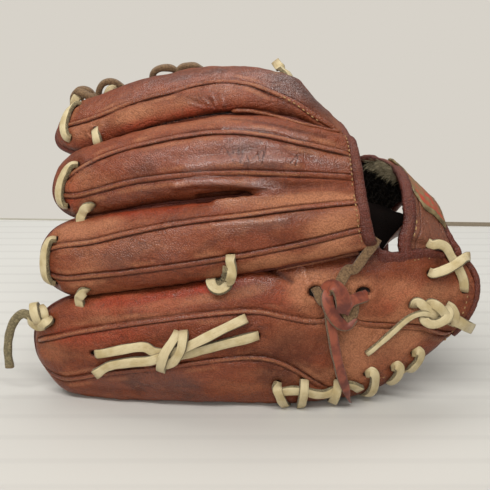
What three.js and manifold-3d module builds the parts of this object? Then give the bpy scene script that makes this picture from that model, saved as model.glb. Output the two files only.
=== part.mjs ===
// A baseball infield glove for the left hand, closed over its pocket and standing like a tent on
// its little-finger edge and its thumb edge. Fingertips point to -X and the wrist to +X, the backs
// of the fingers face -Y, and the thumb and the web close the far side. Lengths are millimetres.
import Module from "manifold-3d";
import * as THREE from "three";
import { mergeVertices } from "three/addons/utils/BufferGeometryUtils.js";

const LEATHER = 3; // the backs of the fingers: leather with its lining
const PALM_PAD = 6; // the palm: leather, felt padding and lining
const SEAM_GAP = 0.45; // clear gap on each side where two pieces are sewn or laced edge to edge
const PALM_GAP = 1.6; // between the palm and the backs, where their seam curves
const BASE_X = 5; // where the slits between the fingers end, and the crotch of the web
const SECTION_POWER = 2.4; // superellipse power of a finger's section
const TIP_POWER = 2.3; // superellipse power of a fingertip's outline
const HAND_POWER = 2.5; // superellipse power of the arch over the hand
const HAND_EDGE_POWER = 4; // how tightly back and palm round into each other at the arch's feet
const HEEL_SHARE = 0.305; // how far up the arch the heel's back reaches beside the opening
const HEEL_END = 126; // where the heel's back ends at the wrist, before its rounded corner
const HEEL_ROUND = 14.5; // how far that corner reaches past it
const WRIST_HOLLOW = 36; // depth of the hollow in the palm's edge at the wrist
const CROTCH_DEPTH = 24; // how far the crotch under the web curves towards the wrist
const WEB_TIP = -117; // where the web ends along the forefinger
const WEB_THUMB_TIP = -97; // and along the thumb
const WEB_BOW = 9; // how far the web bows out
const WEB_LIFT = 3; // how far its edges lie outside the fingers that it is laced to
const LABEL_SPAN = 0.33; // length of the label as a share of the strap's
const FLEECE = 4; // thickness of the pad under the strap
const LACE_WIDTH = 6.3; // the rawhide laces: quarter-inch strips
const LACE = 2.2; // thickness of a lace
const THONG_WIDTH = 9; // the brown leather thongs
const THONG = 2.6; // thickness of a thong
const WELT_WIDTH = 3.4; // the raised bands over the long seams of the backs
const WELT = 1.5; // thickness of a welt
const WELT_LIFT = 1.7; // of a welt's middle above the leather
const BINDING_WIDTH = 8; // the rolled leather round the hand opening
const WRIST_BINDING_WIDTH = 6; // and round the wrist
const BINDING = 5; // thickness of both

// Origin of the part: below the middle of its bounding box, on the surface that it stands on.
const ORIGIN = new THREE.Vector3(-3.1, 61.02, 0);

// Sections of each finger, from the tip to the wrist. y and z are the section's centre on the seam
// between back and palm, half its half width, lean how far it tips back in degrees, crown and palm
// how far it bulges to the back and to the pocket. round is the length of the rounded tip.
const FINGERS = {
  pinky: {
    round: 34,
    rows: [
      { x: -133, y: 17, z: 33.5, half: 27.5, lean: 0, crown: 15, palm: 12 },
      { x: -110, y: 14, z: 32.5, half: 33, lean: 0, crown: 17, palm: 14 },
      { x: -60, y: 8, z: 36.5, half: 37.5, lean: 0, crown: 19, palm: 17 },
      { x: -10, y: 5, z: 41.3, half: 41.5, lean: 2, crown: 19, palm: 19 },
      { x: 40, y: 6, z: 46, half: 46.5, lean: 4, crown: 18, palm: 19 },
      { x: 85, y: 11, z: 53, half: 47, lean: 4, crown: 17, palm: 18 },
    ],
  },
  ring: {
    round: 26,
    rows: [
      { x: -126.5, y: 24, z: 87, half: 20, lean: 17, crown: 15, palm: 12 },
      { x: -100, y: 20, z: 89.5, half: 23.5, lean: 18, crown: 17, palm: 14 },
      { x: -60, y: 13, z: 97, half: 24, lean: 15, crown: 18, palm: 15 },
      { x: -10, y: 9, z: 105, half: 23, lean: 14, crown: 17, palm: 16 },
      { x: 30, y: 4, z: 112, half: 20.5, lean: 14, crown: 12, palm: 16 },
      { x: 70, y: 3, z: 117, half: 16.5, lean: 16, crown: 8, palm: 16 },
    ],
  },
  middle: {
    round: 26,
    rows: [
      { x: -122, y: 50, z: 127, half: 20, lean: 38, crown: 15, palm: 12 },
      { x: -100, y: 43, z: 130.5, half: 23, lean: 37, crown: 17, palm: 14 },
      { x: -60, y: 34, z: 141.5, half: 24, lean: 33, crown: 18, palm: 15 },
      { x: -10, y: 27, z: 150, half: 25, lean: 30, crown: 16, palm: 15 },
      { x: 30, y: 21, z: 151, half: 22, lean: 30, crown: 11, palm: 15 },
      { x: 62, y: 20, z: 147, half: 17.5, lean: 40, crown: 7, palm: 14 },
    ],
  },
  index: {
    round: 26,
    rows: [
      { x: -127, y: 86, z: 155, half: 20, lean: 56, crown: 14, palm: 12 },
      { x: -100, y: 77, z: 160, half: 23, lean: 58, crown: 16, palm: 14 },
      { x: -60, y: 66, z: 174, half: 23, lean: 60, crown: 16, palm: 15 },
      { x: -10, y: 58, z: 182.5, half: 21.3, lean: 60, crown: 15, palm: 15 },
      { x: 27, y: 50, z: 181, half: 18, lean: 60, crown: 12, palm: 14 },
      { x: 45, y: 46.5, z: 170, half: 15.5, lean: 70, crown: 9, palm: 13 },
      { x: 62, y: 45, z: 159.5, half: 14, lean: 86, crown: 3, palm: 12 },
    ],
  },
  thumb: {
    round: 34,
    rows: [
      { x: -104, y: 112, z: 34, half: 27, lean: 172, crown: 16, palm: 13 },
      { x: -80, y: 115, z: 34, half: 32.5, lean: 174, crown: 18, palm: 14 },
      { x: -40, y: 118, z: 35, half: 35.5, lean: 176, crown: 19, palm: 16 },
      { x: 5, y: 119, z: 39, half: 40, lean: 178, crown: 20, palm: 18 },
      { x: 60, y: 116, z: 44, half: 45, lean: 180, crown: 20, palm: 19 },
    ],
  },
};

// Sections of the hand behind the fingers: an arch from its front foot, at the little finger's
// edge, over the back of the hand to its rear foot, at the thumb's edge. front, rear and top give
// its y, crown and foot its z, and half is half the thickness of the hand space with its leather.
const HAND = [
  { x: 5, front: 5, rear: 119, top: 70, crown: 187, foot: -1, half: 17 },
  { x: 40, front: 6, rear: 117, top: 63, crown: 165, foot: -1, half: 18 },
  { x: 70, front: 9, rear: 114, top: 60, crown: 131, foot: 1.5, half: 18.5 },
  { x: 100, front: 14, rear: 108, top: 59, crown: 119, foot: 17, half: 18 },
  { x: 125, front: 19, rear: 101, top: 58, crown: 92, foot: 35, half: 16 },
  { x: 150, front: 25, rear: 93, top: 58, crown: 72, foot: 53, half: 14 },
];

// Where the seams cross the arch over the hand, as shares of its length from the front foot.
const SHARES = {
  pinky: [0, 0.25],
  ring: [0.25, 0.37],
  middle: [0.37, 0.49],
  index: [0.49, 0.58],
  crotch: [0.58, 0.76],
  thumb: [0.76, 1],
};

// Where the back of the thumb's side ends towards the wrist; here x is the share of the arch.
const THUMB_EDGE = [
  { x: 0.58, edge: 62 },
  { x: 0.64, edge: 67 },
  { x: 0.7, edge: 84 },
  { x: 0.765, edge: 101 },
  { x: 0.84, edge: 105 },
  { x: 0.93, edge: 108 },
  { x: 1, edge: 97 },
];

// The wrist strap from the heel over the arch to the thumb's side: near and far give the x of its two
// edges, and nearShare and farShare where they cross the arch; x runs from 0 to 1 along the strap.
const STRAP = [
  { x: 0, near: 103, far: 131, nearShare: 0.309, farShare: 0.309 },
  { x: 0.2, near: 102, far: 125, nearShare: 0.37, farShare: 0.37 },
  { x: 0.45, near: 101, far: 122, nearShare: 0.46, farShare: 0.47 },
  { x: 0.7, near: 93, far: 115, nearShare: 0.58, farShare: 0.6 },
  { x: 1, near: 84.6, far: 101.6, nearShare: 0.696, farShare: 0.762 },
];

// Small maths helpers.
const radians = THREE.MathUtils.degToRad;
const clamp = THREE.MathUtils.clamp;
const mix = THREE.MathUtils.lerp;
const smooth = (low, high, x) => THREE.MathUtils.smoothstep(x, low, high);
const power = (value, exponent) => Math.sign(value) * Math.abs(value) ** exponent;
const steps = (count, low, high) => Array.from({ length: count + 1 }, (_, i) => mix(low, high, i / count));

// A table's column at x, on a smooth curve through its rows.
function column(rows, key, x) {
  let i = 0;
  while (i < rows.length - 2 && x > rows[i + 1].x) i += 1;
  const [p, q] = [rows[i], rows[i + 1]];
  const slope = (k) => {
    const [a, b] = [rows[Math.max(k - 1, 0)], rows[Math.min(k + 1, rows.length - 1)]];
    return (b[key] - a[key]) / (b.x - a.x);
  };
  const width = q.x - p.x;
  const t = clamp((x - p.x) / width, 0, 1);
  const [t2, t3] = [t * t, t * t * t];
  return (
    (2 * t3 - 3 * t2 + 1) * p[key] +
    (t3 - 2 * t2 + t) * width * slope(i) +
    (3 * t2 - 2 * t3) * q[key] +
    (t3 - t2) * width * slope(i + 1)
  );
}

// A point kept above the floor, where the edges of the leather lie flat; lift is negative inside.
const onFloor = (x, y, z, lift) => new THREE.Vector3(x, y, Math.max(z, -Math.min(lift, 0)));

// A point of a finger: angle 0 is the crown of its back, -90 and 90 its seams, 180 its pocket side,
// and lift the distance outside its leather.
function fingerPoint(finger, x, angle, lift = 0) {
  const { rows, round } = finger;
  const get = (key) => column(rows, key, x);
  const tip = rows[0].x - lift;
  const share = clamp((tip + round + lift - x) / (round + lift), 0, 1);
  const shrink = Math.max(1 - share ** TIP_POWER, 0) ** (1 / TIP_POWER);
  const [sine, cosine] = [Math.sin(radians(angle)), Math.cos(radians(angle))];
  const back = cosine >= 0;
  const height = (back ? get("crown") : get("palm")) + lift;
  const wedge = back ? 1 : 1 - 0.16 * Math.abs(cosine);
  const across = shrink * (get("half") - SEAM_GAP + lift) * wedge * power(sine, 2 / SECTION_POWER);
  const bulge = shrink * height * power(cosine, 2 / SECTION_POWER);
  const out = back ? bulge : bulge - PALM_GAP;
  const lean = radians(get("lean"));
  return onFloor(
    x,
    get("y") + across * Math.sin(lean) - out * Math.cos(lean),
    get("z") + across * Math.cos(lean) + out * Math.sin(lean),
    lift,
  );
}

// The hand's arch at x as a polyline with its running length.
const archCache = new Map();
function archLine(x) {
  const key = x.toFixed(3);
  if (archCache.has(key)) return archCache.get(key);
  const get = (name) => column(HAND, name, x);
  const points = steps(64, Math.PI, 0).map((angle) => {
    const [sine, cosine] = [Math.sin(angle), Math.cos(angle)];
    const reach = cosine < 0 ? get("top") - get("front") : get("rear") - get("top");
    return {
      y: get("top") + reach * power(cosine, 2 / HAND_POWER),
      z: get("foot") + (get("crown") - get("foot")) * power(Math.max(sine, 0), 2 / HAND_POWER),
    };
  });
  let run = 0;
  points.forEach((p, i) => {
    if (i > 0) run += Math.hypot(p.y - points[i - 1].y, p.z - points[i - 1].z);
    p.run = run;
  });
  const line = { points, run, half: get("half") };
  archCache.set(key, line);
  return line;
}

// A point of the hand: share runs along the arch from foot to foot, side is 1 on the back and -1 on
// the pocket side, and lift the distance outside that face. Inner faces end short of the feet.
function handPoint(x, share, side, lift = 0) {
  const { points, run, half } = archLine(x);
  const inset = -Math.min(lift, 0) / run;
  const reach = mix(inset, 1 - inset, clamp(share, 0, 1));
  const target = reach * run;
  let i = 0;
  while (i < points.length - 2 && points[i + 1].run < target) i += 1;
  const [p, q] = [points[i], points[i + 1]];
  const t = (target - p.run) / (q.run - p.run);
  const before = points[Math.max(i - 2, 0)];
  const after = points[Math.min(i + 3, points.length - 1)];
  const along = Math.hypot(after.y - before.y, after.z - before.z);
  const normal = { y: -(after.z - before.z) / along, z: (after.y - before.y) / along };
  const fullness = (1 - Math.abs(2 * reach - 1) ** HAND_EDGE_POWER) ** (1 / HAND_EDGE_POWER);
  const out = side * (half * fullness + lift) - (side < 0 ? PALM_GAP : 0);
  return onFloor(x, mix(p.y, q.y, t) + out * normal.y, mix(p.z, q.z, t) + out * normal.z, lift);
}

// A closed wall from a grid: pointAt(row, column, face) gives its outer face at 0 and its inner face
// at 1, and present(row, column) says which cells are there. Open edges are walled.
function wall(rowCount, columnCount, pointAt, present = () => true) {
  const spots = [0, 1].map((face) =>
    Array.from({ length: rowCount + 1 }, (_, i) =>
      Array.from({ length: columnCount + 1 }, (_, j) => pointAt(i, j, face)),
    ),
  );
  const position = [];
  const quad = (a, b, c, d) => position.push(...[a, b, c, a, c, d].flatMap((p) => p.toArray()));
  const has = (i, j) => i >= 0 && j >= 0 && i < rowCount && j < columnCount && present(i, j);
  const [outer, inner] = spots;
  for (let i = 0; i < rowCount; i += 1) {
    for (let j = 0; j < columnCount; j += 1) {
      if (!has(i, j)) continue;
      quad(outer[i][j], outer[i][j + 1], outer[i + 1][j + 1], outer[i + 1][j]);
      quad(inner[i][j], inner[i + 1][j], inner[i + 1][j + 1], inner[i][j + 1]);
      if (!has(i - 1, j)) quad(outer[i][j + 1], outer[i][j], inner[i][j], inner[i][j + 1]);
      if (!has(i + 1, j)) quad(outer[i + 1][j], outer[i + 1][j + 1], inner[i + 1][j + 1], inner[i + 1][j]);
      if (!has(i, j - 1)) quad(outer[i][j], outer[i + 1][j], inner[i + 1][j], inner[i][j]);
      if (!has(i, j + 1)) quad(outer[i + 1][j + 1], outer[i][j + 1], inner[i][j + 1], inner[i + 1][j + 1]);
    }
  }
  return closedGeometry(position);
}

// A closed bar with one section, given as [side, out] pairs, along frames of place and outward side.
function sweep(frames, section) {
  const rings = frames.map(({ at, out }, i) => {
    const ahead = frames[Math.min(i + 1, frames.length - 1)].at.clone();
    const along = ahead.sub(frames[Math.max(i - 1, 0)].at).normalize();
    const side = new THREE.Vector3().crossVectors(along, out).normalize();
    const up = new THREE.Vector3().crossVectors(side, along).normalize();
    return section.map(([s, o]) => at.clone().addScaledVector(side, s).addScaledVector(up, o));
  });
  const position = [];
  const triangle = (a, b, c) => position.push(...[a, b, c].flatMap((p) => p.toArray()));
  for (let i = 0; i < rings.length - 1; i += 1) {
    section.forEach((_, k) => {
      const next = (k + 1) % section.length;
      triangle(rings[i][k], rings[i + 1][k], rings[i + 1][next]);
      triangle(rings[i][k], rings[i + 1][next], rings[i][next]);
    });
  }
  for (let k = 1; k < section.length - 1; k += 1) {
    triangle(rings[0][0], rings[0][k], rings[0][k + 1]);
    triangle(rings.at(-1)[0], rings.at(-1)[k + 1], rings.at(-1)[k]);
  }
  return closedGeometry(position);
}

// The signed volume of a closed geometry, positive with its faces pointing out.
function signedVolume(geometry) {
  const [place, index] = [geometry.attributes.position, geometry.index.array];
  const at = (k) => new THREE.Vector3().fromBufferAttribute(place, index[k]);
  let volume = 0;
  for (let k = 0; k < index.length; k += 3) volume += at(k).dot(at(k + 1).cross(at(k + 2))) / 6;
  return volume;
}

// Triangles as one indexed geometry, with shared corners merged and flat triangles dropped.
function closedGeometry(position) {
  const soup = new THREE.BufferGeometry();
  soup.setAttribute("position", new THREE.Float32BufferAttribute(position, 3));
  const merged = mergeVertices(soup, 1e-3);
  const index = merged.index.array;
  const kept = [];
  for (let i = 0; i < index.length; i += 3) {
    const [a, b, c] = index.subarray(i, i + 3);
    if (a !== b && b !== c && c !== a) kept.push(a, b, c);
  }
  merged.setIndex(kept);
  if (signedVolume(merged) < 0) merged.setIndex(kept.reverse());
  merged.computeVertexNormals();
  return merged;
}

// Several closed geometries joined into one.
const wasm = await Module();
wasm.setup();
function joined(geometries) {
  if (geometries.length === 1) return geometries[0];
  const solids = geometries.map((geometry) => {
    const vertProperties = Float32Array.from(geometry.attributes.position.array);
    const triVerts = Uint32Array.from(geometry.index.array);
    return new wasm.Manifold(new wasm.Mesh({ numProp: 3, vertProperties, triVerts }));
  });
  const mesh = solids.reduce((a, b) => a.add(b)).getMesh();
  const geometry = new THREE.BufferGeometry();
  geometry.setAttribute("position", new THREE.BufferAttribute(mesh.vertProperties, 3));
  geometry.setIndex(new THREE.BufferAttribute(mesh.triVerts, 1));
  geometry.computeVertexNormals();
  return geometry;
}

// Stations along a finger, closer together round its tip; lift as in fingerPoint.
function fingerStations(finger, tipCount, lift) {
  const start = finger.rows[0].x;
  const reach = finger.round + lift;
  return steps(tipCount, 90, 0).map((angle) => start + finger.round - reach * Math.sin(radians(angle)));
}

const glove = new THREE.Group();

function addPiece(name, geometry, material) {
  const mesh = new THREE.Mesh(geometry, material);
  mesh.name = name;
  mesh.position.copy(ORIGIN).negate();
  glove.add(mesh);
}

const leather = (color, roughness) => new THREE.MeshStandardMaterial({ color, roughness, metalness: 0 });
const LEATHER_BROWN = leather(0x8f4a35, 0.5);
const PALM_BROWN = leather(0x7c3f2c, 0.6);
const WELT_BROWN = leather(0x6e3327, 0.5);
const THONG_BROWN = leather(0x7a3d2c, 0.7);
const RAWHIDE = leather(0xd8c598, 0.75);
const LABEL_TAN = leather(0x8c6a4a, 0.8);
const FLEECE_GREY = leather(0x8e867a, 0.95);

// How far the sections of the hand have taken over from those of the fingers at x.
const handWeight = (x) => smooth(BASE_X, 48, x);

// How far up the arch the little finger's back reaches at x: its edge rises beside the hand opening.
const heelShare = (x) => mix(SHARES.pinky[1], HEEL_SHARE, smooth(35, 85, x));

// The outer faces of the backs. t runs from the seam nearer the front foot of the arch to the seam
// nearer its rear foot, and lift is the distance outside.
const fingerSkin = (finger) => (x, t, lift = 0) => fingerPoint(finger, x, mix(-90, 90, t), lift);
const SKINS = {
  ring: fingerSkin(FINGERS.ring),
  middle: fingerSkin(FINGERS.middle),
  index: fingerSkin(FINGERS.index),
  pinky(x, t, lift = 0) {
    const asHand = handPoint(x, mix(0, heelShare(x), t), 1, lift);
    return fingerPoint(FINGERS.pinky, x, mix(-90, 90, t), lift).lerp(asHand, smooth(45, 90, x));
  },
  thumb(x, t, lift = 0) {
    const asHand = handPoint(x, mix(...SHARES.thumb, t), 1, lift);
    return fingerPoint(FINGERS.thumb, x, mix(-90, 90, t), lift).lerp(asHand, handWeight(x));
  },
  hand: (x, share, lift = 0) => handPoint(x, share, 1, lift),
};

// The back of a finger: a half shell from its tip to the hand opening.
function fingerBack(name, ends) {
  const [tipCount, runCount, acrossCount] = [4, 8, 8];
  return wall(tipCount + runCount, acrossCount, (i, j, face) => {
    const lift = face ? -LEATHER : 0;
    const end = mix(ends.low, ends.high, j / acrossCount);
    const tipX = fingerStations(FINGERS[name], tipCount, lift);
    const x = i <= tipCount ? tipX[i] : mix(tipX[tipCount], end, (i - tipCount) / runCount);
    return SKINS[name](x, j / acrossCount, lift);
  });
}

// The back of the little finger runs on round the heel of the hand to the wrist.
function pinkyBack() {
  const [tipCount, runCount, acrossCount] = [5, 14, 11];
  return wall(tipCount + runCount, acrossCount, (i, j, face) => {
    const lift = face ? -LEATHER : 0;
    const t = j / acrossCount;
    const tipX = fingerStations(FINGERS.pinky, tipCount, lift);
    const x = i <= tipCount ? tipX[i] : mix(tipX[tipCount], heelEnd(t), (i - tipCount) / runCount);
    return SKINS.pinky(x, t, lift);
  });
}

// Where the backs end at the wrist: rounded corners on both heels.
const heelEnd = (t) => HEEL_END + 2 * t + HEEL_ROUND * Math.sin(Math.PI * t) ** 0.7;
const thumbEdge = (share) => column(THUMB_EDGE, "edge", share);
const thumbHeelEnd = (t) => thumbEdge(mix(...SHARES.thumb, t));
const crotchEnd = (t) => thumbEdge(mix(...SHARES.crotch, t));

// The back of the thumb and of the hand beside it, from the thumb's tip to the wrist.
function thumbBack() {
  const [tipCount, runCount, handCount, crotchCount, acrossCount] = [4, 5, 7, 5, 8];
  const baseRow = tipCount + runCount;
  const pointAt = (i, j, face) => {
    const lift = face ? -LEATHER : 0;
    const inCrotch = j < crotchCount;
    const t = inCrotch ? j / crotchCount : (j - crotchCount) / acrossCount;
    const tipX = fingerStations(FINGERS.thumb, tipCount, lift);
    if (i < baseRow) {
      const x = i <= tipCount ? tipX[i] : mix(tipX[tipCount], BASE_X, (i - tipCount) / runCount);
      return SKINS.thumb(x, inCrotch ? 0 : t, lift);
    }
    const share = (i - baseRow) / handCount;
    if (!inCrotch) return SKINS.thumb(mix(BASE_X, thumbHeelEnd(t), share), t, lift);
    const x = mix(BASE_X + CROTCH_DEPTH * Math.sin(Math.PI * t), crotchEnd(t), share);
    return handPoint(x, mix(...SHARES.crotch, t), handWeight(x), lift);
  };
  const present = (i, j) => i >= baseRow || j >= crotchCount;
  return wall(baseRow + handCount, crotchCount + acrossCount, pointAt, present);
}

// Where the palm ends at the wrist: far back on both heels, with a deep hollow between them.
const palmEnd = (share) => {
  const between = smooth(0.12, 0.27, share) * (1 - smooth(0.6, 0.8, share));
  return mix(122, 94, smooth(0.7, 0.85, share)) - WRIST_HOLLOW * between;
};

// The palm: one padded piece over the pocket side of every finger, the hand and the thumb.
function palm() {
  const blocks = ["pinky", "ring", "middle", "index", "crotch", "thumb"];
  const [tipCount, runCount, handCount, acrossCount] = [4, 5, 8, 5];
  const baseRow = tipCount + runCount;
  const pointAt = (i, j, face) => {
    const depth = face ? -PALM_PAD : 0;
    const block = blocks[Math.floor(j / (acrossCount + 1))];
    const t = (j % (acrossCount + 1)) / acrossCount;
    const finger = FINGERS[block];
    const angle = mix(269.5, 90.5, t);
    if (i <= baseRow && finger) {
      const tipX = fingerStations(finger, tipCount, depth);
      const x = i <= tipCount ? tipX[i] : mix(tipX[tipCount], BASE_X, (i - tipCount) / runCount);
      return fingerPoint(finger, x, angle, depth);
    }
    const share = mix(...SHARES[block], t);
    const start = BASE_X + (finger ? 0 : CROTCH_DEPTH * Math.sin(Math.PI * t));
    const x = mix(start, palmEnd(share), Math.max(i - baseRow, 0) / handCount);
    const weight = handWeight(x);
    const asHand = handPoint(x, share, finger ? -1 : -weight, depth);
    return finger ? fingerPoint(finger, x, angle, depth).lerp(asHand, weight) : asHand;
  };
  const present = (i, j) => {
    const block = blocks[Math.floor(j / (acrossCount + 1))];
    const bridge = j % (acrossCount + 1) === acrossCount;
    return i >= baseRow || (block !== "crotch" && !bridge);
  };
  return wall(baseRow + handCount, blocks.length * (acrossCount + 1) - 1, pointAt, present);
}

addPiece("index_back", fingerBack("index", { low: 61, high: 56 }), LEATHER_BROWN);
addPiece("middle_back", fingerBack("middle", { low: 62, high: 61 }), LEATHER_BROWN);
addPiece("ring_back", fingerBack("ring", { low: 70, high: 63 }), LEATHER_BROWN);
addPiece("pinky_back", pinkyBack(), LEATHER_BROWN);
addPiece("thumb_back", thumbBack(), LEATHER_BROWN);
addPiece("palm", palm(), PALM_BROWN);

// The wrist strap, the label sewn on it and the fleece pad under it. u runs along the strap from
// the heel and v across it.
function strapPoint(u, v, lift) {
  const get = (key) => column(STRAP, key, u);
  return handPoint(mix(get("near"), get("far"), v), mix(get("nearShare"), get("farShare"), v), 1, lift);
}
const strap = wall(12, 4, (i, j, face) => strapPoint(i / 12, 1 - j / 4, face ? -LEATHER : 0));
addPiece("wrist_strap", strap, LEATHER_BROWN);
addPiece("strap_label", wall(5, 4, (i, j, face) => {
  const v = mix(0.95, 0.08, j / 4);
  return strapPoint(mix(0.3, 0.13, v) + LABEL_SPAN * (i / 5), v, face ? 0.9 : 2.5);
}), LABEL_TAN);
addPiece("strap_pad", wall(8, 3, (i, j, face) => {
  const [u, v] = [mix(0.2, 0.94, i / 8), mix(0.94, 0.06, j / 3)];
  return strapPoint(u, v, -LEATHER - 0.6 - (face ? FLEECE : 0));
}), FLEECE_GREY);

// The web between the forefinger and the thumb. x runs along the forefinger's edge and v from there
// to the thumb's edge, which is a little shorter; the web bows outwards.
function webPoint(x, v, lift = 0) {
  const share = (BASE_X - x) / (BASE_X - WEB_TIP);
  const near = SKINS.index(x, 1, 0);
  const far = SKINS.thumb(mix(BASE_X, WEB_THUMB_TIP, share), 0, 0);
  const across = far.clone().sub(near).normalize();
  const outward = new THREE.Vector3(0, across.z, -across.y).multiplyScalar(-1);
  const point = near.lerp(far, v);
  return point.addScaledVector(outward, WEB_BOW * Math.sin(Math.PI * v) + WEB_LIFT + lift);
}
SKINS.web = webPoint;
// Its rows run along the forefinger and its columns across; a window is left open on each side of
// the bar in its middle.
const webRows = [1, -9, -20, -34, -48, -62, -77, -90, -103, WEB_TIP];
const webShares = [0.06, 0.16, 0.27, 0.38, 0.5, 0.62, 0.73, 0.84, 0.94];
const inWeb = (i, j) => i < 3 || i > 5 || (j > 2 && j < 5);
const web = wall(9, 8, (i, j, face) => {
  const [v, reach] = [webShares[j], Math.max(1 - i / 3, 0)];
  const x = webRows[i] + reach * 0.55 * CROTCH_DEPTH * Math.sin(Math.PI * v);
  return webPoint(x, v, face ? -LEATHER : 0);
}, inWeb);
addPiece("web", web, LEATHER_BROWN);

// Frames along a skin through a table of spots, smoothly joined, in count steps. A spot is a skin's
// name, x, t and the lift of the middle of the strip above the leather; one in the air gives x, y, z.
function frameOn([skin, x, t, lift]) {
  if (skin === "air") return { at: new THREE.Vector3(x, t, lift), out: new THREE.Vector3(0, -1, 0) };
  const at = SKINS[skin](x, t, lift);
  const out = SKINS[skin](x, t, lift + 2).sub(at).normalize();
  return { at, out };
}
function route(spots, count) {
  const curve = new THREE.CatmullRomCurve3([], false, "catmullrom", 0.5);
  const oneSkin = spots[0][0] !== "air" && spots.every(([skin]) => skin === spots[0][0]);
  if (oneSkin) {
    curve.points = spots.map(([, x, t, lift]) => new THREE.Vector3(x, t * 100, lift));
    return steps(count, 0, 1).map((u) => {
      const { x, y, z } = curve.getPoint(u);
      return frameOn([spots[0][0], x, y / 100, z]);
    });
  }
  const frames = spots.map(frameOn);
  curve.points = frames.map((frame) => frame.at);
  return steps(count, 0, 1).map((u) => {
    const k = Math.min(Math.floor(u * (frames.length - 1)), frames.length - 2);
    const out = frames[k].out.clone().lerp(frames[k + 1].out, u * (frames.length - 1) - k);
    return { at: curve.getPoint(u), out: out.normalize() };
  });
}
const flat = (width, thickness) => [
  [-width / 2, -thickness / 2],
  [width / 2, -thickness / 2],
  [width / 2, thickness / 2],
  [-width / 2, thickness / 2],
];
const rolled = (width, thickness) =>
  steps(5, 30, 330).map((angle) => [
    (width / 2) * power(Math.cos(radians(angle)), 0.8),
    (thickness / 2) * power(Math.sin(radians(angle)), 0.8),
  ]);

// The welts over the long seams of the backs.
const WELTS = {
  index_welt: [["index", -112, 0.39], ["index", -76, 0.4], ["index", -47, 0.41], ["index", -20, 0.46],
    ["index", 2, 0.42], ["index", 18, 0.33], ["index", 32, 0.25], ["index", 52, 0.24]],
  middle_upper_welt: [["middle", -104, 0.51], ["middle", -86, 0.58], ["middle", -59, 0.61],
    ["middle", -26, 0.6], ["middle", 12, 0.57], ["middle", 58, 0.53]],
  middle_lower_welt: [["middle", -110, 0.29], ["middle", -76, 0.33], ["middle", -44, 0.335],
    ["middle", -10, 0.325], ["middle", 28, 0.31], ["middle", 59, 0.29]],
  ring_upper_welt: [["ring", -113, 0.59], ["ring", -92, 0.59], ["ring", -71, 0.625],
    ["ring", -40, 0.655], ["ring", 0, 0.65], ["ring", 30, 0.665], ["ring", 60, 0.7]],
  ring_lower_welt: [["ring", -112, 0.32], ["ring", -94, 0.345], ["ring", -66, 0.348],
    ["ring", -14, 0.36], ["ring", 15, 0.37], ["ring", 40, 0.39], ["ring", 66, 0.435]],
  pinky_upper_welt: [["pinky", -122, 0.6], ["pinky", -94, 0.645], ["pinky", -61, 0.675],
    ["pinky", -24, 0.677], ["pinky", 5, 0.655], ["pinky", 25, 0.6], ["pinky", 41, 0.565]],
  pinky_lower_welt: [["pinky", -118, 0.31], ["pinky", -91, 0.405], ["pinky", -52, 0.448],
    ["pinky", -15, 0.47], ["pinky", 8, 0.465], ["pinky", 20, 0.44], ["pinky", 32, 0.385]],
  thumb_welt: [["thumb", -90, 0.5], ["thumb", -55, 0.47], ["thumb", -10, 0.45],
    ["thumb", 20, 0.46], ["thumb", 50, 0.42], ["thumb", 96, 0.36]],
};
for (const [name, spots] of Object.entries(WELTS)) {
  const frames = route(spots.map((spot) => [...spot, WELT_LIFT]), 12);
  addPiece(name, sweep(frames, flat(WELT_WIDTH, WELT)), WELT_BROWN);
}

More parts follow.
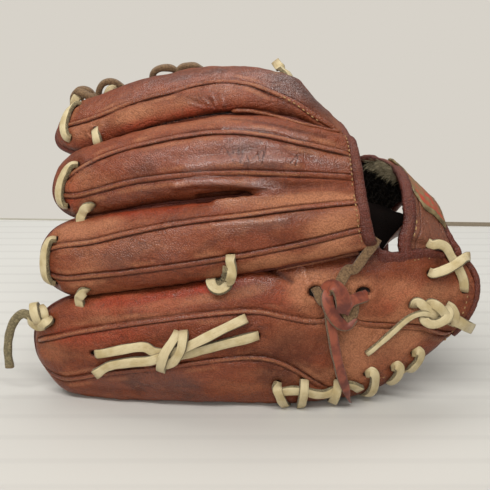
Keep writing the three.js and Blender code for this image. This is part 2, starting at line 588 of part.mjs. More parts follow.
// The laces: each is a list of strips, joined where they cross. A strip is a table of spots.
const LACES = {
  index_tip_lace: [[["index", -111.5, 0.78, 2.7], ["index", -116.5, 0.66, 3], ["index", -118.5, 0.5, 3],
    ["index", -118.5, 0.34, 2.9], ["index", -115, 0.2, 2.7]]],
  middle_tip_lace: [[["middle", -106.5, 0.68, 2.6], ["middle", -111.5, 0.57, 3],
    ["middle", -114, 0.42, 3.1], ["middle", -113.5, 0.26, 3], ["middle", -110.5, 0.15, 2.8]]],
  ring_tip_lace: [[["ring", -114, 0.76, 2.4], ["ring", -118, 0.62, 2.6], ["ring", -120, 0.46, 2.7],
    ["ring", -119, 0.3, 2.8], ["ring", -115.5, 0.2, 3]]],
  thumb_tip_lace: [[["thumb", -90, 0.25, 3.5], ["thumb", -96, 0.36, 3], ["thumb", -97.5, 0.5, 3],
    ["thumb", -96, 0.64, 3], ["thumb", -90, 0.76, 3.2]]],
  index_middle_lace: [[["index", -94, 0.28, 2.6], ["index", -93, 0.19, 3.9],
    ["middle", -89, 0.8, 3.8], ["middle", -87, 0.66, 2.4]]],
  middle_ring_lace: [[["middle", -93, 0.24, 2.6], ["middle", -94, 0.16, 4],
    ["ring", -96, 0.83, 3.8], ["ring", -96, 0.69, 2.4]]],
  ring_pinky_lace: [[["ring", -97, 0.3, 2.4], ["ring", -97, 0.2, 3.8],
    ["pinky", -98, 0.87, 3.8], ["pinky", -99, 0.78, 2.4]]],
  pinky_tip_knot: [[["pinky", -117, 0.86, 2.2], ["pinky", -124, 0.88, 4.4], ["air", -136, 12, 56],
    ["air", -144, 11, 52], ["air", -150, 11, 44], ["air", -152, 11, 32], ["air", -151, 12, 19]],
    [["air", -134, 15, 47], ["air", -132, 8.6, 49], ["air", -132, 8.2, 56], ["air", -134, 14, 60]]],
  ring_pinky_knot: [[["ring", -9, 0.3, 2.6], ["ring", -9, 0.22, 6.2], ["pinky", -11, 0.86, 4.6],
    ["pinky", -14, 0.82, 3.6], ["pinky", -17, 0.77, 2.4]],
    [["pinky", -21, 0.86, 2.4], ["pinky", -15, 0.83, 5], ["pinky", -8, 0.79, 2.4]]],
  pinky_back_lace: [[["pinky", -92, 0.515, 2], ["pinky", -75, 0.532, 2.1],
    ["pinky", -58, 0.55, 2.4], ["pinky", -44, 0.53, 3.6]],
    [["pinky", -92, 0.425, 4.5], ["pinky", -72, 0.483, 4.4], ["pinky", -56, 0.49, 4.1],
      ["pinky", -42, 0.53, 3.6]],
    [["pinky", -48, 0.53, 3.8], ["pinky", -34, 0.553, 4.2], ["pinky", -18, 0.58, 4.4],
      ["pinky", 0, 0.615, 4]],
    [["pinky", -48, 0.52, 3.4], ["pinky", -28, 0.525, 2.4], ["pinky", -10, 0.53, 2],
      ["pinky", 6, 0.53, 2]],
    [["pinky", -40, 0.61, 2], ["pinky", -43, 0.57, 5.4], ["pinky", -46, 0.5, 5.6],
      ["pinky", -49, 0.46, 4.2]]],
  heel_lace: [[["pinky", 22, 0.25, 2.2], ["pinky", 38, 0.235, 2.2], ["pinky", 54, 0.2, 2.2],
    ["pinky", 66, 0.19, 2.2]],
    [["pinky", 19, 0.29, 2.2], ["pinky", 19, 0.22, 2.6], ["pinky", 20, 0.17, 2.2]],
    [["pinky", 35, 0.31, 2.2], ["pinky", 36, 0.23, 4.2], ["pinky", 36, 0.16, 2.2]],
    [["pinky", 56, 0.28, 2.2], ["pinky", 57, 0.2, 4.2], ["pinky", 58, 0.14, 2.2]],
    [["pinky", 66, 0.25, 2.2], ["pinky", 67, 0.18, 4.2], ["pinky", 67, 0.12, 2.2]]],
  heel_lace_2: [[["pinky", 81, 0.27, 2.2], ["pinky", 78, 0.13, 2.8], ["pinky", 75, 0.02, 3.6]]],
  heel_lace_3: [[["pinky", 94, 0.23, 2.2], ["pinky", 91, 0.11, 2.8], ["pinky", 87, 0.02, 3.6]]],
  heel_lace_4: [[["pinky", 106, 0.24, 2.2], ["pinky", 103, 0.12, 2.8], ["pinky", 99, 0.02, 3.6]]],
  heel_knot: [[["pinky", 136, 0.31, 2.4], ["pinky", 130, 0.38, 2.6], ["pinky", 120, 0.48, 3],
    ["pinky", 110, 0.57, 2.4], ["pinky", 102, 0.605, 2]],
    [["pinky", 124, 0.45, 3], ["pinky", 108, 0.515, 4.2], ["pinky", 92, 0.46, 3.2],
      ["pinky", 74, 0.39, 2.4]],
    [["pinky", 126, 0.56, 2], ["pinky", 121, 0.52, 6.4], ["pinky", 117, 0.43, 6.4],
      ["pinky", 114, 0.39, 2]]],
  strap_lace: [[["hand", 112, 0.322, 2.2], ["hand", 121, 0.335, 2.6], ["hand", 127, 0.305, 3],
    ["hand", 130, 0.25, 2.6], ["hand", 131, 0.21, 2.2]],
    [["hand", 132, 0.293, 2.6], ["hand", 127, 0.283, 4.2], ["hand", 120, 0.265, 2.6],
      ["hand", 112, 0.251, 2.2]]],
  web_lace_end: [[["index", 32, 0.8, 0.1], ["index", 25, 0.93, 4.5], ["index", 19, 1, 13]]],
  thumb_heel_lace_1: [[["thumb", 60, 0.72, 1.8], ["thumb", 62, 0.84, 2.2], ["thumb", 64, 0.93, 2.2]]],
  thumb_heel_lace_2: [[["thumb", 76, 0.72, 2.2], ["thumb", 78, 0.84, 2.8], ["thumb", 80, 0.95, 3]]],
  thumb_heel_lace_3: [[["thumb", 90, 0.72, 2.2], ["thumb", 91, 0.84, 2.8], ["thumb", 92, 0.95, 3]]],
};
for (const [name, strips] of Object.entries(LACES)) {
  const solids = strips.map((spots) => sweep(route(spots, 2 * spots.length), flat(LACE_WIDTH, LACE)));
  addPiece(name, joined(solids), RAWHIDE);
}

// The brown thong tied through the back of the hand, and the loops that hold the web.
const THONGS = {
  thong: [[["pinky", 76, 0.99, 3.2], ["pinky", 68, 0.92, 2.6], ["pinky", 60, 0.79, 2.6],
    ["pinky", 56, 0.66, 4]],
    [["pinky", 52, 0.7, 4], ["pinky", 48, 0.6, 3.2], ["pinky", 52, 0.46, 3.2], ["pinky", 57, 0.34, 8],
      ["pinky", 63, 0.18, 9]],
    [["pinky", 39, 0.69, 2.6], ["pinky", 47, 0.69, 5.4], ["pinky", 56, 0.65, 6.6],
      ["pinky", 62, 0.59, 3.2]],
    [["pinky", 71, 0.74, 2.6], ["pinky", 65, 0.67, 4.6], ["pinky", 58, 0.6, 5.4],
      ["pinky", 51, 0.6, 3.2]]],
};
for (const [k, [x, seat]] of [[-111, 2.4], [-91, 2], [-55, 1.7], [-37, 1.6]].entries()) {
  THONGS[`web_loop_index_${k + 1}`] = [[["index", x, 0.84, seat], ["index", x, 0.93, 5.8],
    ["web", x, 0.02, 7.4], ["web", x, 0.1, 2.4]]];
}
for (const [k, [x, seat]] of [[-104, 2.4], [-86, 2], [-28, 1.8], [-10, 1.8]].entries()) {
  const thumbX = mix(BASE_X, WEB_THUMB_TIP, (BASE_X - x) / (BASE_X - WEB_TIP));
  THONGS[`web_loop_thumb_${k + 1}`] = [[["web", x, 0.88, seat], ["web", x, 0.92, 6],
    ["thumb", thumbX, 0.18, 5.6], ["thumb", thumbX, 0.25, 2.7]]];
}
for (const [name, strips] of Object.entries(THONGS)) {
  const solids = strips.map((spots) => sweep(route(spots, 2 * spots.length), flat(THONG_WIDTH, THONG)));
  addPiece(name, joined(solids), THONG_BROWN);
}

// The rolled bindings lie outside the edges of the leather: at the hand opening and round the wrist.
const [rim, cuff] = [BINDING_WIDTH / 2 + 0.4, WRIST_BINDING_WIDTH / 2 + 0.4];
const strapEdge = (edge, out) => steps(8, 0.05, 0.86).map((u) => {
  return ["hand", column(STRAP, edge, u) + out, column(STRAP, `${edge}Share`, u)];
});
const RIMS = {
  finger_binding: [["index", 60.5, 0.9], ["index", 64.5, 0.5], ["index", 66, 0.06], ["middle", 66, 0.92],
    ["middle", 66.5, 0.5], ["middle", 67, 0.1], ["ring", 67.6, 0.92], ["ring", 71, 0.5],
    ["ring", 74.4, 0.12]],
  strap_binding: strapEdge("near", -rim),
  thumb_binding: steps(5, 0.59, 0.67).map((share) => ["hand", thumbEdge(share) + 1.5 * rim, share]),
};
const CUFFS = {
  wrist_binding: strapEdge("far", cuff),
  heel_binding: steps(8, 0.08, 0.97).map((t) => ["pinky", heelEnd(t) + 1.4 * cuff, t]),
  thumb_heel_binding: steps(5, 0.06, 0.94).map((t) => ["thumb", thumbHeelEnd(t) + 1.3 * cuff, t]),
};
function addBindings(bindings, width) {
  for (const [name, spots] of Object.entries(bindings)) {
    const frames = route(spots.map((spot) => [...spot, -LEATHER / 2]), 12);
    addPiece(name, sweep(frames, rolled(width, BINDING)), WELT_BROWN);
  }
}
addBindings(RIMS, BINDING_WIDTH);
addBindings(CUFFS, WRIST_BINDING_WIDTH);

export default glove;
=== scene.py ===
"""A worn infield baseball glove for the left hand, lying on its little finger's side on a table.

Shapes are worked out in millimetres in the pattern's own axes: x runs from the fingertips to the
wrist, y from the backs of the fingers towards the thumb and z up from the table. place() moves them
to the frame's metres. A skin gives the outer face of one leather panel from x, t and lift: t runs
across the panel from seam to seam and lift is the distance outside it.
"""
import math

import bpy
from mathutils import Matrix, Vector
import numpy as np


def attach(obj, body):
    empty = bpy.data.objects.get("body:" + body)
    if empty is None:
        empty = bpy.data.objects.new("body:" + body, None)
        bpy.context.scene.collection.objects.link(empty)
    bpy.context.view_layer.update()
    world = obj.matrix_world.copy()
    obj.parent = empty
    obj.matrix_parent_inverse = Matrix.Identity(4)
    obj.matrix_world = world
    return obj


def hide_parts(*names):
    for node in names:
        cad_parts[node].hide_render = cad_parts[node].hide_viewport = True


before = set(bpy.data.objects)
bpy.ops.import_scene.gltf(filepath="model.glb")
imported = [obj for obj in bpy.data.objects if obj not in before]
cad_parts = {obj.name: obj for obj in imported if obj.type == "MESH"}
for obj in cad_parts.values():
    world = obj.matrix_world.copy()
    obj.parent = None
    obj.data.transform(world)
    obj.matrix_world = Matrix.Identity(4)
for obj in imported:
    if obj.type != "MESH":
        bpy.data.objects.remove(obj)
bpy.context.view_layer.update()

# Camera: the photograph's side and focal length in pixels, and the eye's place and pitch.
PICTURE = 490
FOCAL = 700
EYE = (0.0, -389.0, 229.8)
PITCH = 18.0
SENSOR = 36.0

# The part's origin in the pattern's axes, and the table's far edge behind the glove.
ORIGIN = np.array([-3.1, 61.02, 0.0])
TABLE_EDGE, TABLE_TURN = 401.0, -0.05

# Sizes of the leather, as in the solids.
LEATHER = 3.0
PALM_PAD = 6.0
SEAM_GAP = 0.3
PALM_GAP = 0.5
BASE_X = 5.0
SECTION_POWER = 2.4
TIP_POWER = 2.3
HAND_POWER = 2.5
HAND_EDGE_POWER = 4.0
HEEL_SHARE = 0.305
HEEL_END = 126.0
HEEL_ROUND = 14.5
CROTCH_DEPTH = 24.0
WEB_TIP = -117.0
WEB_THUMB_TIP = -97.0
WEB_BOW = 9.0
WEB_LIFT = 3.0
LACE_SEEN = 5.7
LACE = 2.9
THONG_WIDTH = 9.0
THONG = 2.8


def table(names, *rows):
    """A table as one array a column."""
    return dict(zip(names.split(), np.array(rows, float).T))


# Sections of each finger from its tip to the wrist: centre, half width, lean, crown and palm bulge.
SECTION = "x y z half lean crown palm"
FINGERS = {
    "pinky": table(
        SECTION,
        (-133, 17, 33.5, 27.5, 0, 15, 12),
        (-110, 14, 32.5, 33, 0, 17, 14),
        (-60, 8, 36.5, 37.5, 0, 19, 17),
        (-10, 5, 41.3, 41.5, 2, 19, 19),
        (40, 6, 46, 46.5, 4, 18, 19),
        (85, 11, 53, 47, 4, 17, 18),
    ),
    "ring": table(
        SECTION,
        (-126.5, 24, 87, 20, 17, 15, 12),
        (-100, 20, 89.5, 23.5, 18, 17, 14),
        (-60, 13, 97, 24, 15, 18, 15),
        (-10, 9, 105, 23, 14, 17, 16),
        (30, 4, 112, 20.5, 14, 12, 16),
        (70, 3, 117, 16.5, 16, 8, 16),
    ),
    "middle": table(
        SECTION,
        (-122, 50, 127, 20, 38, 15, 12),
        (-100, 43, 130.5, 23, 37, 17, 14),
        (-60, 34, 141.5, 24, 33, 18, 15),
        (-10, 27, 150, 25, 30, 16, 15),
        (30, 21, 151, 22, 30, 11, 15),
        (62, 20, 147, 17.5, 40, 7, 14),
    ),
    "index": table(
        SECTION,
        (-127, 86, 155, 20, 56, 14, 12),
        (-100, 77, 160, 23, 58, 16, 14),
        (-60, 66, 174, 23, 60, 16, 15),
        (-10, 58, 182.5, 21.3, 60, 15, 15),
        (27, 50, 181, 18, 60, 12, 14),
        (45, 46.5, 170, 15.5, 70, 9, 13),
        (62, 45, 159.5, 14, 86, 3, 12),
    ),
    "thumb": table(
        SECTION,
        (-104, 112, 34, 27, 172, 16, 13),
        (-80, 115, 34, 32.5, 174, 18, 14),
        (-40, 118, 35, 35.5, 176, 19, 16),
        (5, 119, 39, 40, 178, 20, 18),
        (60, 116, 44, 45, 180, 20, 19),
    ),
}
TIP_ROUND = {"pinky": 34, "ring": 26, "middle": 26, "index": 26, "thumb": 34}

# Sections of the hand: an arch from its front foot over the back of the hand to its rear foot.
HAND = table(
    "x front rear top crown foot half",
    (5, 5, 119, 70, 187, -1, 17),
    (40, 6, 117, 63, 165, -1, 18),
    (70, 9, 114, 60, 131, 1.5, 18.5),
    (100, 14, 108, 59, 119, 17, 18),
    (125, 19, 101, 58, 92, 35, 16),
    (150, 25, 93, 58, 72, 53, 14),
)
SHARES = {
    "pinky": (0, 0.25),
    "ring": (0.25, 0.37),
    "middle": (0.37, 0.49),
    "index": (0.49, 0.58),
    "crotch": (0.58, 0.76),
    "thumb": (0.76, 1),
}

# Where the thumb's side ends towards the wrist, by share of the arch.
THUMB_EDGE = table(
    "x edge", (0.58, 62), (0.64, 67), (0.7, 84), (0.765, 101), (0.84, 105), (0.93, 108), (1, 97)
)

# The wrist strap's two edges, from the heel over the arch to the thumb's side.
STRAP = table(
    "x near far nearShare farShare",
    (0, 103, 131, 0.309, 0.309),
    (0.2, 102, 125, 0.37, 0.37),
    (0.45, 101, 122, 0.46, 0.47),
    (0.7, 93, 115, 0.58, 0.6),
    (1, 84.6, 101.6, 0.696, 0.762),
)


# Small maths helpers.
def mix(low, high, share):
    return low + (high - low) * share


def smooth(low, high, value):
    """0 up to low and 1 from high on, with an easy slope between; low may be the larger."""
    share = np.clip((value - low) / (high - low), 0, 1)
    return share * share * (3 - 2 * share)


def signed_power(value, exponent):
    return np.sign(value) * np.abs(value) ** exponent


def unit(vectors):
    return vectors / np.maximum(np.linalg.norm(vectors, axis=-1, keepdims=True), 1e-9)


def bell(distance, width):
    return np.exp(-((distance / width) ** 2))


def away_from(x, t, x0, t0, long, wide):
    """The squared distance from a spot, in half lengths along x and half widths in t."""
    return ((x - x0) / long) ** 2 + ((t - t0) / wide) ** 2


def run_along(points):
    """The running length along a line of points."""
    return np.concatenate([[0], np.cumsum(np.linalg.norm(np.diff(points, axis=0), axis=1))])


def ripple(points, wavelength, seed, count=20):
    """Smooth noise of about -1 to 1: a sum of sines along random directions, near one wavelength."""
    draw = np.random.default_rng(seed)
    ways = unit(draw.normal(size=(count, 3))) * draw.uniform(0.6, 1.7, (count, 1))
    phases = draw.uniform(0, 2 * math.pi, count)
    waves = np.tensordot(points, ways.T, axes=1) * (2 * math.pi / wavelength) + phases
    return np.sin(waves).sum(axis=-1) / math.sqrt(count)


def column(rows, name, x):
    """A table's column at x: a cubic between neighbouring rows, its slopes taken across them."""
    knots, values = rows["x"], rows[name]
    slopes = np.gradient(values, knots, edge_order=1)
    slopes[1:-1] = (values[2:] - values[:-2]) / (knots[2:] - knots[:-2])
    x = np.clip(x, knots[0], knots[-1])
    i = np.clip(np.searchsorted(knots, x, side="right") - 1, 0, len(knots) - 2)
    width = knots[i + 1] - knots[i]
    t = (x - knots[i]) / width
    start = (2 * t**3 - 3 * t**2 + 1) * values[i] + (t**3 - 2 * t**2 + t) * width * slopes[i]
    return start + (3 * t**2 - 2 * t**3) * values[i + 1] + (t**3 - t**2) * width * slopes[i + 1]


def catmull(knots, u):
    """Points on a uniform Catmull-Rom curve through knots, with u from 0 to 1 along it."""
    knots = np.asarray(knots, float)
    around = np.vstack([2 * knots[0] - knots[1], knots, 2 * knots[-1] - knots[-2]])
    place = np.clip(u, 0, 1) * (len(knots) - 1)
    i = np.minimum(place.astype(int), len(knots) - 2)
    t = (place - i)[:, None]
    p, q, r, s = (around[i + k] for k in range(4))
    return 0.5 * (
        2 * q + (r - p) * t + (2 * p - 5 * q + 4 * r - s) * t**2 + (3 * q - p - 3 * r + s) * t**3
    )


# The skins.
def finger_point(name, x, angle, lift=0.0):
    """A superellipse section on the finger's leaning axis: angle 0 is the crown, 180 the pocket side."""
    rows, reach = FINGERS[name], TIP_ROUND[name]
    x, angle, lift = np.broadcast_arrays(x, angle, lift)
    tip = rows["x"][0] - lift
    share = np.clip((tip + reach + lift - x) / (reach + lift), 0, 1)
    shrink = np.maximum(1 - share**TIP_POWER, 0) ** (1 / TIP_POWER)
    sine, cosine = np.sin(np.radians(angle)), np.cos(np.radians(angle))
    back = cosine >= 0
    height = np.where(back, column(rows, "crown", x), column(rows, "palm", x)) + lift
    wedge = np.where(back, 1, 1 - 0.16 * np.abs(cosine))
    half = column(rows, "half", x) - SEAM_GAP + lift
    across = shrink * half * wedge * signed_power(sine, 2 / SECTION_POWER)
    out = shrink * height * signed_power(cosine, 2 / SECTION_POWER) - np.where(back, 0, PALM_GAP)
    lean = np.radians(column(rows, "lean", x))
    y = column(rows, "y", x) + across * np.sin(lean) - out * np.cos(lean)
    z = column(rows, "z", x) + across * np.cos(lean) + out * np.sin(lean)
    return np.stack([x, y, np.maximum(z, -np.minimum(lift, 0))], axis=-1)


ARCH_X = np.arange(HAND["x"][0], HAND["x"][-1] + 1)
ARCH_STEPS = 400


def arch_table():
    """The arch at each whole x, even along its length: y, z, the normal's y and z, and the length."""
    angle = np.linspace(math.pi, 0, 241)
    side = signed_power(np.cos(angle), 2 / HAND_POWER)
    rise = np.maximum(np.sin(angle), 0) ** (2 / HAND_POWER)
    share = np.linspace(0, 1, ARCH_STEPS + 1)
    found = []
    for x in ARCH_X:
        front, rear, top, crown, foot = (
            column(HAND, name, x) for name in ("front", "rear", "top", "crown", "foot")
        )
        y = top + np.where(side < 0, top - front, rear - top) * side
        z = foot + (crown - foot) * rise
        run = np.concatenate([[0], np.cumsum(np.hypot(np.diff(y), np.diff(z)))])
        y, z = np.interp(share * run[-1], run, y), np.interp(share * run[-1], run, z)
        near, far = np.maximum(np.arange(ARCH_STEPS + 1) - 9, 0), np.arange(ARCH_STEPS + 1) + 9
        far = np.minimum(far, ARCH_STEPS)
        along = unit(np.stack([y[far] - y[near], z[far] - z[near]], axis=1))
        found.append(np.stack([y, z, -along[:, 1], along[:, 0], np.full_like(y, run[-1])], axis=1))
    return np.array(found)


ARCH = arch_table()


def hand_point(x, share, side, lift=0.0):
    """The hand's face on the side given: 1 is its back, -1 its pocket side, both round at the feet."""
    x, share, side, lift = np.broadcast_arrays(x, share, side, lift)
    row = np.clip(x, ARCH_X[0], ARCH_X[-1]) - ARCH_X[0]
    i = np.minimum(row.astype(int), len(ARCH_X) - 2)
    run = ARCH[i, 0, 4]
    inset = -np.minimum(lift, 0) / run
    reach = mix(inset, 1 - inset, np.clip(share, 0, 1))
    place = reach * ARCH_STEPS
    j = np.minimum(place.astype(int), ARCH_STEPS - 1)
    u, v = (row - i)[..., None], (place - j)[..., None]
    near = mix(ARCH[i, j], ARCH[i, j + 1], v)
    found = mix(near, mix(ARCH[i + 1, j], ARCH[i + 1, j + 1], v), u)
    fullness = (1 - np.abs(2 * reach - 1) ** HAND_EDGE_POWER) ** (1 / HAND_EDGE_POWER)
    out = side * (column(HAND, "half", x) * fullness + lift) - np.where(side < 0, PALM_GAP, 0)
    y, z = found[..., 0] + out * found[..., 2], found[..., 1] + out * found[..., 3]
    return np.stack([x, y, np.maximum(z, -np.minimum(lift, 0))], axis=-1)


def hand_weight(x):
    return smooth(BASE_X, 48, x)


def heel_share(x):
    return mix(SHARES["pinky"][1], HEEL_SHARE, smooth(35, 85, x))


def finger_skin(name):
    return lambda x, t, lift=0.0: finger_point(name, x, mix(-90, 90, t), lift)


def pinky_skin(x, t, lift=0.0):
    """The little finger's back, which turns into the back of the heel between x 45 and 90."""
    x, t = np.broadcast_arrays(x, t)
    as_hand = hand_point(x, mix(0, heel_share(x), t), 1, lift)
    return mix(finger_point("pinky", x, mix(-90, 90, t), lift), as_hand, smooth(45, 90, x)[..., None])


def thumb_skin(x, t, lift=0.0):
    """The thumb's back, which turns into the back of the hand beside it."""
    x, t = np.broadcast_arrays(x, t)
    as_hand = hand_point(x, mix(*SHARES["thumb"], t), 1, lift)
    return mix(finger_point("thumb", x, mix(-90, 90, t), lift), as_hand, hand_weight(x)[..., None])


def web_skin(x, v, lift=0.0):
    """The web: straight lines from the forefinger's edge to the thumb's edge, bowed outwards."""
    x, v, lift = np.broadcast_arrays(x, v, lift)
    share = (BASE_X - x) / (BASE_X - WEB_TIP)
    near = finger_point("index", x, 90.0)
    far = thumb_skin(mix(BASE_X, WEB_THUMB_TIP, share), 0.0)
    across = unit(far - near)
    outward = np.stack([np.zeros_like(x), -across[..., 2], across[..., 1]], axis=-1)
    bow = WEB_BOW * np.sin(math.pi * v) + WEB_LIFT + lift
    return mix(near, far, v[..., None]) + outward * bow[..., None]


SKINS = {name: finger_skin(name) for name in ("ring", "middle", "index")}
SKINS.update(pinky=pinky_skin, thumb=thumb_skin, web=web_skin)
SKINS["hand"] = lambda x, share, lift=0.0: hand_point(x, share, 1.0, lift)


# Making meshes.
def place(points):
    """Millimetres in the pattern's axes to metres in the frame's."""
    return (points - ORIGIN) / 1000


def weld(points, quads):
    """Merges corners that coincide; a quad with two corners in one place becomes a triangle."""
    _, first, same = np.unique(
        np.round(points, 3), axis=0, return_index=True, return_inverse=True
    )
    quads = same.reshape(-1)[quads]
    repeat = quads == np.roll(quads, -1, axis=1)
    crossed = (quads[:, 0] == quads[:, 2]) | (quads[:, 1] == quads[:, 3])
    whole = (repeat.sum(axis=1) == 0) & ~crossed
    bent = (repeat.sum(axis=1) == 1) & ~crossed
    start = repeat[bent].argmax(axis=1)[:, None]
    triangles = np.take_along_axis(quads[bent], (start + np.arange(1, 4)) % 4, axis=1)
    return first, quads[whole], triangles, whole, bent


def outward(points, quads):
    """The quads with their faces pointing out of the closed shell that they make."""
    p, q, r, s = (points[quads[:, k]] for k in range(4))
    volume = np.einsum("ij,ij->i", p, np.cross(q, r)) + np.einsum("ij,ij->i", p, np.cross(r, s))
    return quads if volume.sum() > 0 else quads[:, ::-1]


def shell(points, quads, paint=None, flow=None, face=None):
    """One closed shell for add_piece: paint is four masks a corner and flow a place on its surface."""
    return {
        "points": points,
        "quads": outward(points, quads),
        "paint": np.zeros((len(points), 4)) if paint is None else paint,
        "flow": points if flow is None else flow,
        "face": np.zeros(len(quads), int) if face is None else face,
    }


def bars(points, caps=()):
    """One shell of many small tubes: points by tube, by ring and round the ring; caps close their ends."""
    count, rings, around = points.shape[:3]
    index = np.arange(rings * around).reshape(rings, around)
    ahead = np.roll(index, -1, axis=1)
    walls = np.stack([index[:-1], ahead[:-1], ahead[1:], index[1:]], axis=-1).reshape(-1, 4)
    quads = np.vstack([walls, *caps]) + (np.arange(count) * rings * around)[:, None, None]
    return shell(points.reshape(-1, 3), quads.reshape(-1, 4))


def painted(dark=0.0, worn=0.0, stain=0.0, gloss=0.0):
    """The four masks of a surface's paint, side by side."""
    return np.stack(np.broadcast_arrays(dark, worn, stain, gloss), axis=-1)


def link(name, data):
    """A new object in the scene."""
    made = bpy.data.objects.new(name, data)
    bpy.context.collection.objects.link(made)
    return made


def add_piece(name, shells, materials, slot, *nodes):
    """An object of closed shells that stands for CAD nodes, wears the given materials and rides on the glove;
    slot is not used.
    """
    points, paint, flow, faces, kinds, base = [], [], [], [], [], 0
    for part in shells:
        first, whole, bent, is_whole, is_bent = weld(part["points"], part["quads"])
        points.append(part["points"][first])
        paint.append(part["paint"][first])
        flow.append(part["flow"][first])
        faces += (whole + base).tolist() + (bent + base).tolist()
        kinds += [part["face"][is_whole], part["face"][is_bent]]
        base += len(first)
    mesh = bpy.data.meshes.new(name)
    mesh.from_pydata(place(np.vstack(points)), [], faces)
    for layer, kind, field, rows in (
        ("paint", "FLOAT_COLOR", "color", paint), ("flow", "FLOAT_VECTOR", "vector", flow)
    ):
        values = mesh.attributes.new(layer, kind, "POINT").data
        values.foreach_set(field, np.vstack(rows).astype(np.float32).ravel())
    mesh.polygons.foreach_set("material_index", np.concatenate(kinds).astype(np.int32))
    mesh.polygons.foreach_set("use_smooth", np.ones(len(faces), bool))
    for material in materials:
        mesh.materials.append(material)
    mesh.update()
    piece = link(name, mesh)
    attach(piece, "root")
    if nodes:
        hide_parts(*nodes)


def wall_quads(rows, columns, present=None):
    """Quads of an outer grid, an inner grid after it, and a rim round every open edge, with kinds."""
    if present is None:
        present = np.ones((rows - 1, columns - 1), bool)
    index = np.arange(rows * columns).reshape(rows, columns)
    a, b, c, d = index[:-1, :-1], index[:-1, 1:], index[1:, 1:], index[1:, :-1]
    below = rows * columns
    outer = np.stack([a, b, c, d], axis=-1)[present]
    beyond = np.pad(present, 1)
    sides = []
    for (up, left), (p, q) in zip(((0, 1), (2, 1), (1, 0), (1, 2)), ((b, a), (d, c), (a, d), (c, b))):
        there = beyond[up : up + rows - 1, left : left + columns - 1]
        sides.append(np.stack([p, q, q + below, p + below], axis=-1)[present & ~there])
    quads = np.vstack([outer, outer[:, ::-1] + below, *sides])
    kinds = np.repeat([0, 1, 0], [len(outer), len(outer), sum(map(len, sides))])
    return quads, kinds


def grid_normals(grid, inner):
    """Unit normals of a grid's points, on the side away from the inner grid."""
    normal = unit(np.cross(np.gradient(grid, axis=0), np.gradient(grid, axis=1)))
    outwards = np.einsum("ijk,ijk->ij", normal, grid - inner).sum() > 0
    return normal if outwards else -normal


def lengths(grid, axis):
    """The running length along a grid's rows (axis 1) or columns (axis 0)."""
    step = np.linalg.norm(np.diff(grid, axis=axis), axis=2)
    start = np.zeros_like(step.take([0], axis=axis))
    return np.concatenate([start, np.cumsum(step, axis=axis)], axis=axis)


def wall_shell(outer, inner, lift, paint, present=None):
    """A leather panel: its outer grid raised by lift, its inner grid, and its edges."""
    normal = grid_normals(outer, inner)
    raised = outer + normal * lift[..., None]
    raised[..., 2] = np.maximum(raised[..., 2], 0)
    flow = np.stack([lengths(outer, 0), lengths(outer, 1), np.zeros(outer.shape[:2])], axis=-1)
    points = np.vstack([raised.reshape(-1, 3), inner.reshape(-1, 3)])
    quads, kinds = wall_quads(*outer.shape[:2], present)
    both = np.vstack([paint.reshape(-1, 4), np.zeros((inner[..., 0].size, 4))])
    return shell(points, quads, both, np.vstack([flow.reshape(-1, 3)] * 2), kinds)


# Strips and rolls: a section carried along a route, with so many places for each spot of it.
STRIP_STEPS = 12
ROLL_STEPS = 36


def spots_of(strip):
    """A strip's spots, each with its skin's name in front: a name holds for the spots after it."""
    found = []
    for item in strip:
        if isinstance(item, str):
            skin = item
        else:
            found.append((skin, *item))
    return found


def frames_on(skin, x, t, lift):
    """Places on a skin at a lift, and the way outwards there."""
    at = SKINS[skin](x, t, lift)
    return at, unit(SKINS[skin](x, t, lift + 2.0) - at)


def route(spots, count):
    """Places and outward ways along a smooth line through spots: skin, x, t, lift, or air, x, y, z."""
    u = np.linspace(0, 1, count)
    skins = {spot[0] for spot in spots}
    if len(skins) == 1 and "air" not in skins:
        x, t, lift = catmull([(x, t * 100, lift) for _, x, t, lift in spots], u).T
        return frames_on(spots[0][0], x, t / 100, lift)
    ats, outs = [], []
    for skin, *place_on in spots:
        if skin == "air":
            at, out = np.array(place_on[:3], float), np.array(place_on[3:] or (0, -1, 0), float)
        else:
            at, out = frames_on(skin, *(np.array(float(value)) for value in place_on))
        ats.append(at)
        outs.append(unit(out))
    return catmull(ats, u), unit(catmull(outs, u))


def rounded(width, thickness, exponent=5.0, count=16):
    """A superellipse section, round like a coin at 2 and nearly square at 8, as side and out."""
    turn = np.linspace(0, 2 * math.pi, count, endpoint=False) + math.pi / count
    side = width / 2 * signed_power(np.cos(turn), 2 / exponent)
    return np.stack([side, thickness / 2 * signed_power(np.sin(turn), 2 / exponent)], axis=1)


def band(width, thickness, bevel=0.32, crown=0.12):
    """A strip's section, as side and out: flat faces with bevelled corners, its face a little domed."""
    w, t = width / 2, thickness / 2
    face = [(w - bevel, t), (w * 0.35, t + crown), (-w * 0.35, t + crown), (bevel - w, t)]
    low = [(bevel - w, -t), (0, -t), (w - bevel, -t)]
    return np.array([(w, bevel - t), (w, t - bevel), *face, (-w, t - bevel), (-w, bevel - t), *low])


